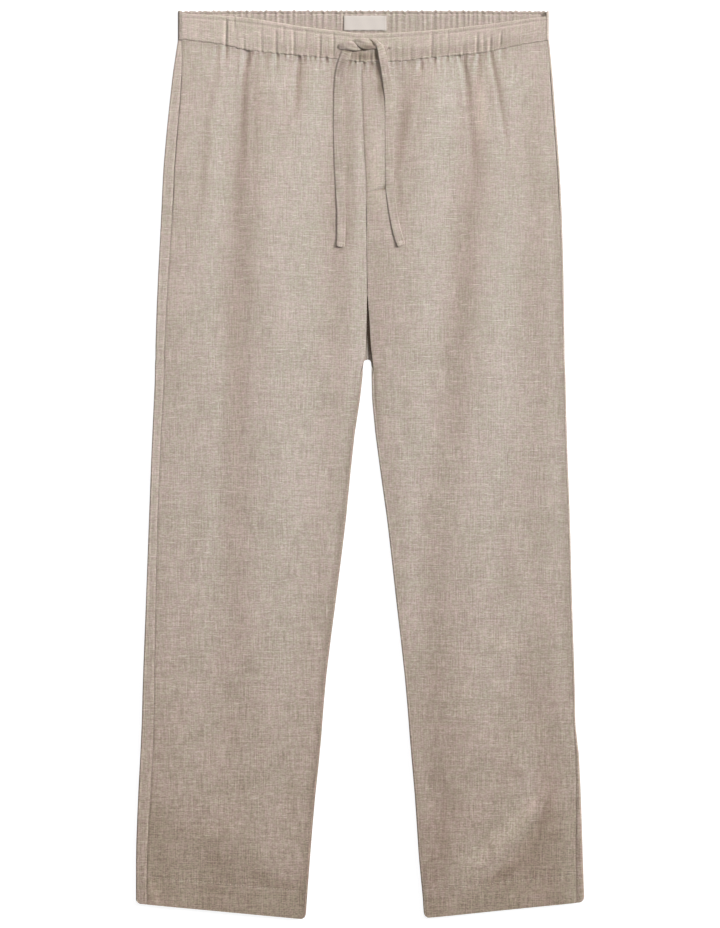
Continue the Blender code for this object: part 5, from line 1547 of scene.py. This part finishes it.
class Tape:
    """The route of one free end of the drawstring on the cloth, and its section's form."""

    KNOT = (0.0500, 0.0600)  # its length in the knot, and where it is quite flat
    END_FOLD = 0.0052  # length of the turned end
    SMOOTHING = 0.0020  # length over which the table's corners are rounded

    def __init__(self, side, plan, settings):
        rows = np.array(DRAWSTRING[side])
        steps = np.linalg.norm(np.diff(rows[:, :2], axis=0), axis=1)
        along = np.concatenate([[0.0], np.cumsum(steps)])
        count = int(round(along[-1] / settings.step)) + 1
        self.places = np.linspace(0.0, along[-1], count)
        self.from_end = self.places[-1] - self.places
        dense = np.stack([np.interp(self.places, along, column) for column in rows.T], axis=1)
        keep = ramp(np.minimum(self.places, self.from_end), 0.0060, 0.0)[:, None]
        route = keep * dense + (1 - keep) * self.smoothed(dense)
        self.in_knot = ramp(self.places, *reversed(self.KNOT))
        column = dict(zip(DRAWSTRING_COLUMNS, route.T))
        self.middle = route[:, :2]
        self.half = 0.5 * column["width"]
        self.under = column["under"]
        self.tilt = column["tilt"]
        folded = ramp(self.from_end, self.END_FOLD, self.END_FOLD - 0.001)
        self.top = column["top"] + settings.end_fold * folded
        way = np.gradient(self.middle, axis=0)
        way /= np.linalg.norm(way, axis=1)[:, None]
        self.across = np.column_stack([-way[:, 1], way[:, 0]])
        reach = (self.half[:, None] * np.linspace(-1.0, 1.0, 5))[:, :, None]
        spots = self.middle[:, None, :] + reach * self.across[:, None, :]
        bed = plan.cloth(spots[:, :, 0], spots[:, :, 1])
        self.bed = [self.smoothed(half_bed.max(axis=1)) for half_bed in (bed[:, :3], bed[:, 2:])]

    def smoothed(self, values):
        """Values along the tape without their corners."""
        near = np.exp(-0.5 * ((self.places[:, None] - self.places) / self.SMOOTHING) ** 2)
        return (near / near.sum(axis=1)[:, None]) @ values

    def points(self, part, rise):
        """Points of the tape at parts -1 to 1 across it and 0 to 1 of its rise."""
        share = 0.5 + 0.5 * part
        low, high = self.bed
        rounding = ramp(self.from_end, -0.0012, 0.0004) ** 0.5
        side = (self.half * rounding)[:, None] * part
        spots = self.middle[:, None, :] + side[:, :, None] * self.across[:, None, :]
        z = low[:, None] + (high - low + self.tilt)[:, None] * share + self.under[:, None] + 0.00003
        z = z + (self.top - self.under)[:, None] * rise
        return np.concatenate([spots, z[:, :, None]], axis=2)


def make_drawstring(side, plan, settings, material):
    """One free end of the drawstring: a flat folded tape, fuller where it is knotted."""
    tape = Tape(side, plan, settings)
    turn = np.linspace(0.0, 2 * math.pi, 37)
    power = (0.50 + 0.18 * tape.in_knot)[:, None]
    part = np.sign(np.cos(turn)) * np.abs(np.cos(turn)) ** power
    rise = np.clip(np.sign(np.sin(turn)) * np.abs(np.sin(turn)) ** power, 0.0, 1.0)
    knot = tape.in_knot[:, None]
    places = tape.places[:, None]
    pleats = 0.07 * np.sin(places * 310.0 + 5.0 * part) * knot
    taper = -0.35 * (1.0 + part) * (1.0 - knot)
    points = tape.points(part, rise * (1.0 + pleats + taper))
    flat = np.stack([0.5 * tape.half[:, None] * part, np.repeat(places, len(turn), axis=1)], axis=2)
    piece = new_grid(f"drawstring_{side}_tape", points, flat)
    x, y, _ = vertex_places(piece)
    # Painted shadows on the tape round the knot.
    set_painted_shading(piece, creases_height(KNOT_PAINTED_SHADOWS[side], x, y))
    weld(piece)
    finish_piece(piece, material, f"drawstring_{side}", angle=60.0)
    centre = tape.points(np.array([[0.0]]), np.array([[0.5]]))[:, 0]


# ------------------------------------------------------------------- sewing


def on_front(plan, side, xs, ys):
    """Points on the face of a front."""
    xs = np.asarray(xs, float)
    ys = np.asarray(ys, float)
    return np.column_stack([xs, ys, plan.front(side, xs, ys)])


def on_band(plan, xs, share):
    """Points on the front waistband at a share of its height."""
    seam = plan.waist(xs) + SEAM_GAP
    ys = seam + share * (plan.band_top(xs) - seam)
    return np.column_stack([xs, ys, plan.band(xs, ys)])


def sew_waistband(plan, sewing):
    """The rows below the waistband's top edge and above its seam."""
    xs = np.arange(plan.right_end + 0.002, plan.left_end - 0.002, 0.001)
    sewing.row(on_band(plan, xs, 1.0 - ROW_INSET / BAND_HEIGHT))
    sewing.row(on_band(plan, xs, 0.055))


def sew_hem(plan, side, sewing):
    """The hem's stitching on a leg's front, lap and underside."""
    (outer_x, _), (inner_x, _) = HEM_ENDS[side]
    y = plan.hem(side, 0.5 * (outer_x + inner_x)) + HEM_DEPTH
    low = plan.low_x[side](y) + 0.0015
    high = plan.high_x[side](y) - 0.0015
    xs = np.arange(low, high, 0.001)
    sewing.row(on_front(plan, side, xs, plan.hem(side, xs) + HEM_DEPTH))
    out = OUT[side]
    under_xs = out * np.arange(abs(inner_x) + 0.004, abs(outer_x) - 0.004, 0.001)
    edge = plan.back_edges(side)[0](y)
    lap_xs = np.linspace(plan.outer_seam(side, y) + out * 0.0012, edge - out * EDGE_RADIUS, 12)
    for xs, z in ((under_xs, 0.00010), (lap_xs, 2 * EDGE_RADIUS)):
        if abs(xs[-1] - xs[0]) > 0.004:
            sewing.row(np.column_stack([xs, plan.hem(side, xs) + HEM_DEPTH, np.full(xs.shape, z)]))


def sew_pocket(plan, side, sewing):
    """Topstitching beside a pocket's opening and its bar tacks."""
    inward = -OUT[side]
    ys = np.arange(POCKET_Y[0] + 0.002, POCKET_Y[1] - 0.002, 0.001)
    sewing.row(on_front(plan, side, plan.outer_seam(side, ys) + inward * ROW_INSET, ys))
    for y in POCKET_Y:
        seam = float(plan.outer_seam(side, y))
        ends = on_front(plan, side, [seam + inward * 0.0004, seam + inward * 0.0066], [y, y])
        sewing.bar(ends[0], ends[1], 0.0019)
    waist = float(plan.waist(plan.outer_seam(side, 0.49)))
    ys = np.arange(POCKET_Y[1] + 0.004, waist - 0.002, 0.001)
    sewing.row(on_front(plan, side, plan.outer_seam(side, ys) + inward * 0.0016, ys), length=0.0016)


def sew_fly(plan, sewing):
    """The mock fly: its lap's edge and its J-shaped topstitching."""
    ys = np.arange(0.3250, 0.4700, 0.001)
    sewing.row(on_front(plan, "left", plan.low_x["left"](ys) + 0.0016, ys))
    down = np.linspace(0.4740, 0.3420, 90)
    xs = np.interp(down, (0.3420, 0.4000, 0.4740), (0.0305, 0.0330, 0.0330))
    turn = np.linspace(0.0, math.pi / 2, 16)
    bend_x = 0.0125 + 0.0180 * np.cos(turn)
    bend_y = 0.3420 - 0.0160 * np.sin(turn)
    last_x = np.linspace(0.0110, 0.0100, 3)
    last_y = np.linspace(0.3250, 0.3210, 3)
    sewing.row(on_front(
        plan, "left", np.concatenate([xs, bend_x, last_x]), np.concatenate([down, bend_y, last_y])))


def sew_label(sewing):
    """Short stitches down both ends of the label."""
    low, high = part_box("label")
    for x in (low[0] + 0.0016, high[0] - 0.0016):
        ys = np.linspace(low[1] + 0.001, high[1] - 0.001, 20)
        points = np.column_stack([np.full(20, x), ys, np.full(20, high[2] - 0.0004)])
        sewing.row(points, length=0.0014, gap=0.0007, width=0.00035)


def sew_tape(tape, sewing):
    """The row that closes the folded tape and the one across its end."""
    edge = tape.points(np.array([[0.62]]), np.array([[0.42]]))[:, 0]
    keep = (tape.places > 0.066) & (tape.from_end > tape.END_FOLD + 0.001)
    sewing.row(edge[keep], length=0.0017, gap=0.0010, width=0.00024)
    shares = np.linspace(-0.80, 0.80, 12)[None, :]
    at = int(np.searchsorted(tape.places, tape.places[-1] - tape.END_FOLD))
    across = tape.points(shares, 0.65 - 0.35 * shares)[at]
    sewing.row(across, length=0.0015, gap=0.0004, width=0.00036)


# ------------------------------------------------------------------ operators


class Shared:
    """What several operators need, made once."""

    plan = None
    linen = {}

    @classmethod
    def get_plan(cls):
        """The trousers' seams and faces, read from the frame at the first call."""
        if cls.plan is None:
            cls.plan = Plan()
        return cls.plan

    @classmethod
    def get_linen(cls, name, **look):
        """The linen of this name, made at the first call."""
        if name not in cls.linen:
            cls.linen[name] = linen(name, bpy.context.scene.trousers_linen, **look)
        return cls.linen[name]


class TROUSERS_OT_camera(bpy.types.Operator):
    """Puts the camera straight above the trousers"""

    bl_idname = "trousers.camera"
    bl_label = "Camera"

    def execute(self, context):
        studio = context.scene.trousers_studio
        data = bpy.data.cameras.new("overhead")
        camera = bpy.data.objects.new("overhead", data)
        context.scene.collection.objects.link(camera)
        camera.location = (studio.aim[0], studio.aim[1], studio.height)
        data.type = "PERSP"
        data.sensor_width = 36.0
        long_side = max(studio.picture) * studio.scale
        data.lens = data.sensor_width * studio.height / long_side
        data.clip_start = 0.05
        data.clip_end = 40.0
        data.dof.use_dof = False
        context.scene.camera = camera
        return {"FINISHED"}


class TROUSERS_OT_drawstring(bpy.types.Operator):
    """Lays the drawstring's two free ends"""

    bl_idname = "trousers.drawstring"
    bl_label = "Drawstring"

    def execute(self, context):
        settings = context.scene.trousers_trim
        material = Shared.get_linen(
            "linen_tape", tint=(0.935, 0.930, 0.925), hem=False, toned=True, seed=60.0)
        for side in SIDES:
            make_drawstring(side, Shared.get_plan(), settings, material)
        return {"FINISHED"}


class TROUSERS_OT_backs(bpy.types.Operator):
    """Makes the two back panels that the trousers lie on"""

    bl_idname = "trousers.backs"
    bl_label = "Back panels"

    def execute(self, context):
        settings = context.scene.trousers_linen
        for number, side in enumerate(SIDES):
            # crotch paints the shadow in the back's crotch.
            material = Shared.get_linen(
                f"linen_back_{side}", tint=(0.97, 0.97, 0.97), toned=True, crotch=side,
                seed=20.0 + 10.0 * number)
            make_back(side, Shared.get_plan(), settings, material)
        return {"FINISHED"}


class TROUSERS_OT_fronts(bpy.types.Operator):
    """Makes the two front panels with their folds and creases"""

    bl_idname = "trousers.fronts"
    bl_label = "Front panels"

    def execute(self, context):
        settings = context.scene.trousers_linen
        for number, side in enumerate(SIDES):
            # zone paints the shade of a fold above the hem.
            material = Shared.get_linen(
                f"linen_front_{side}", zone=HEM_ZONES[side], toned=True, seed=5.0 * number)
            make_front(side, Shared.get_plan(), settings, material)
        return {"FINISHED"}


class TROUSERS_OT_waistband(bpy.types.Operator):
    """Makes the gathered front and back halves of the waistband"""

    bl_idname = "trousers.waistband"
    bl_label = "Waistband"

    def execute(self, context):
        make_band_front(Shared.get_plan(), Shared.get_linen("linen_band", hem=False, toned=True, seed=40.0))
        # The back waistband's linen is darker: painted shade on its inner face.
        inside = Shared.get_linen("linen_band_back", tint=(0.90, 0.90, 0.90), hem=False, seed=50.0)
        make_band_back(inside)
        return {"FINISHED"}


class TROUSERS_OT_pockets(bpy.types.Operator):
    """Makes the facings behind the side pockets' openings"""

    bl_idname = "trousers.pockets"
    bl_label = "Pocket facings"

    def execute(self, context):
        settings = context.scene.trousers_linen
        # The facings' linen is darker: painted shade in the pockets' openings.
        material = Shared.get_linen("linen_facing", tint=(0.85, 0.85, 0.85), hem=False, seed=70.0)
        for side in SIDES:
            make_facing(side, settings, material)
        return {"FINISHED"}


class TROUSERS_OT_label(bpy.types.Operator):
    """Makes the bare label inside the back waistband"""

    bl_idname = "trousers.label"
    bl_label = "Label"

    def execute(self, context):
        make_label(label_material(context.scene.trousers_trim))
        return {"FINISHED"}


class TROUSERS_OT_sewing(bpy.types.Operator):
    """Sews the topstitching, hems, bar tacks and fly"""

    bl_idname = "trousers.sewing"
    bl_label = "Sewing"

    def execute(self, context):
        settings = context.scene.trousers_sewing
        plan = Shared.get_plan()
        material = thread_material(settings)
        jobs = {
            "sewing_waistband": lambda sewing: sew_waistband(plan, sewing),
            "sewing_fly": lambda sewing: sew_fly(plan, sewing),
            "sewing_label": sew_label,
        }
        for side in SIDES:
            jobs[f"sewing_hem_{side}"] = lambda sewing, side=side: sew_hem(plan, side, sewing)
            jobs[f"sewing_pocket_{side}"] = lambda sewing, side=side: sew_pocket(plan, side, sewing)
            tape = Tape(side, plan, context.scene.trousers_trim)
            jobs[f"sewing_drawstring_{side}"] = lambda sewing, tape=tape: sew_tape(tape, sewing)
        for name, job in jobs.items():
            sewing = Sewing(settings)
            job(sewing)
            sewing.piece(name, material)
        return {"FINISHED"}


class TROUSERS_OT_studio(bpy.types.Operator):
    """Makes the pale surface and the soft lights"""

    bl_idname = "trousers.studio"
    bl_label = "Studio"

    FLOOR_SIZE = 9.0
    FLOOR_GAP = 0.0002  # between the trousers and the surface

    def execute(self, context):
        studio = context.scene.trousers_studio
        deselect()
        bpy.ops.mesh.primitive_plane_add(size=self.FLOOR_SIZE, location=(0.0, 0.0, -self.FLOOR_GAP))
        bpy.ops.object.transform_apply(location=True, rotation=False, scale=False)
        floor = context.active_object
        floor.name = "surface"
        floor.data.materials.append(floor_material(studio))
        only_itself = bpy.data.collections.new("surface_glow")
        only_itself.objects.link(floor)
        floor.light_linking.receiver_collection = only_itself
        key = self.soft_light(
            "key", "SPOT", place=(8.4, 4.0, 4.8), target=(0.0, 0.40, 0.0), power=studio.key)
        key.shadow_soft_size = 1.8
        key.spot_size = math.radians(16.0)
        key.spot_blend = 1.0
        top = self.soft_light(
            "top", "AREA", place=(0.1, 1.8, 1.2), target=(0.0, 0.15, 0.0), power=studio.top)
        top.shape = "DISK"
        top.size = 1.1
        world = bpy.data.worlds.new("studio")
        world.use_nodes = True
        background = world.node_tree.nodes["Background"]
        background.inputs["Color"].default_value = (1.0, 1.0, 1.0, 1.0)
        background.inputs["Strength"].default_value = studio.fill
        context.scene.world = world
        context.scene.view_settings.view_transform = "Standard"
        return {"FINISHED"}

    @staticmethod
    def soft_light(name, kind, place, target, power):
        """A lamp at a place that shines at a target."""
        data = bpy.data.lights.new(name, kind)
        data.energy = power
        lamp = bpy.data.objects.new(name, data)
        bpy.context.scene.collection.objects.link(lamp)
        lamp.location = place
        way = Vector(target) - Vector(place)
        lamp.rotation_euler = way.to_track_quat("-Z", "Y").to_euler()
        return data


OPERATORS = (
    TROUSERS_OT_camera, TROUSERS_OT_drawstring, TROUSERS_OT_backs, TROUSERS_OT_pockets,
    TROUSERS_OT_fronts, TROUSERS_OT_waistband, TROUSERS_OT_label, TROUSERS_OT_sewing,
    TROUSERS_OT_studio,
)
SETTINGS = {
    "trousers_linen": LinenSettings, "trousers_sewing": SewingSettings,
    "trousers_trim": TrimSettings, "trousers_studio": StudioSettings,
}


class TROUSERS_PT_panel(bpy.types.Panel):
    """Lists the trousers' sizes, colours and pieces"""

    bl_idname = "TROUSERS_PT_panel"
    bl_label = "Trousers"
    bl_space_type = "VIEW_3D"
    bl_region_type = "UI"
    bl_category = "Trousers"

    def draw(self, context):
        layout = self.layout
        for name, group in SETTINGS.items():
            box = layout.box()
            for setting in group.__annotations__:
                box.prop(getattr(context.scene, name), setting)
        for operator in OPERATORS:
            layout.operator(operator.bl_idname)


def register():
    for group in SETTINGS.values():
        bpy.utils.register_class(group)
    for name, group in SETTINGS.items():
        setattr(bpy.types.Scene, name, bpy.props.PointerProperty(type=group))
    for operator in OPERATORS:
        bpy.utils.register_class(operator)
    bpy.utils.register_class(TROUSERS_PT_panel)


def unregister():
    bpy.utils.unregister_class(TROUSERS_PT_panel)
    for operator in reversed(OPERATORS):
        bpy.utils.unregister_class(operator)
    for name, group in SETTINGS.items():
        delattr(bpy.types.Scene, name)
        bpy.utils.unregister_class(group)


def main():
    register()
    for operator in OPERATORS:
        group, name = operator.bl_idname.split(".")
        getattr(getattr(bpy.ops, group), name)()


if __name__ == "__main__":
    main()
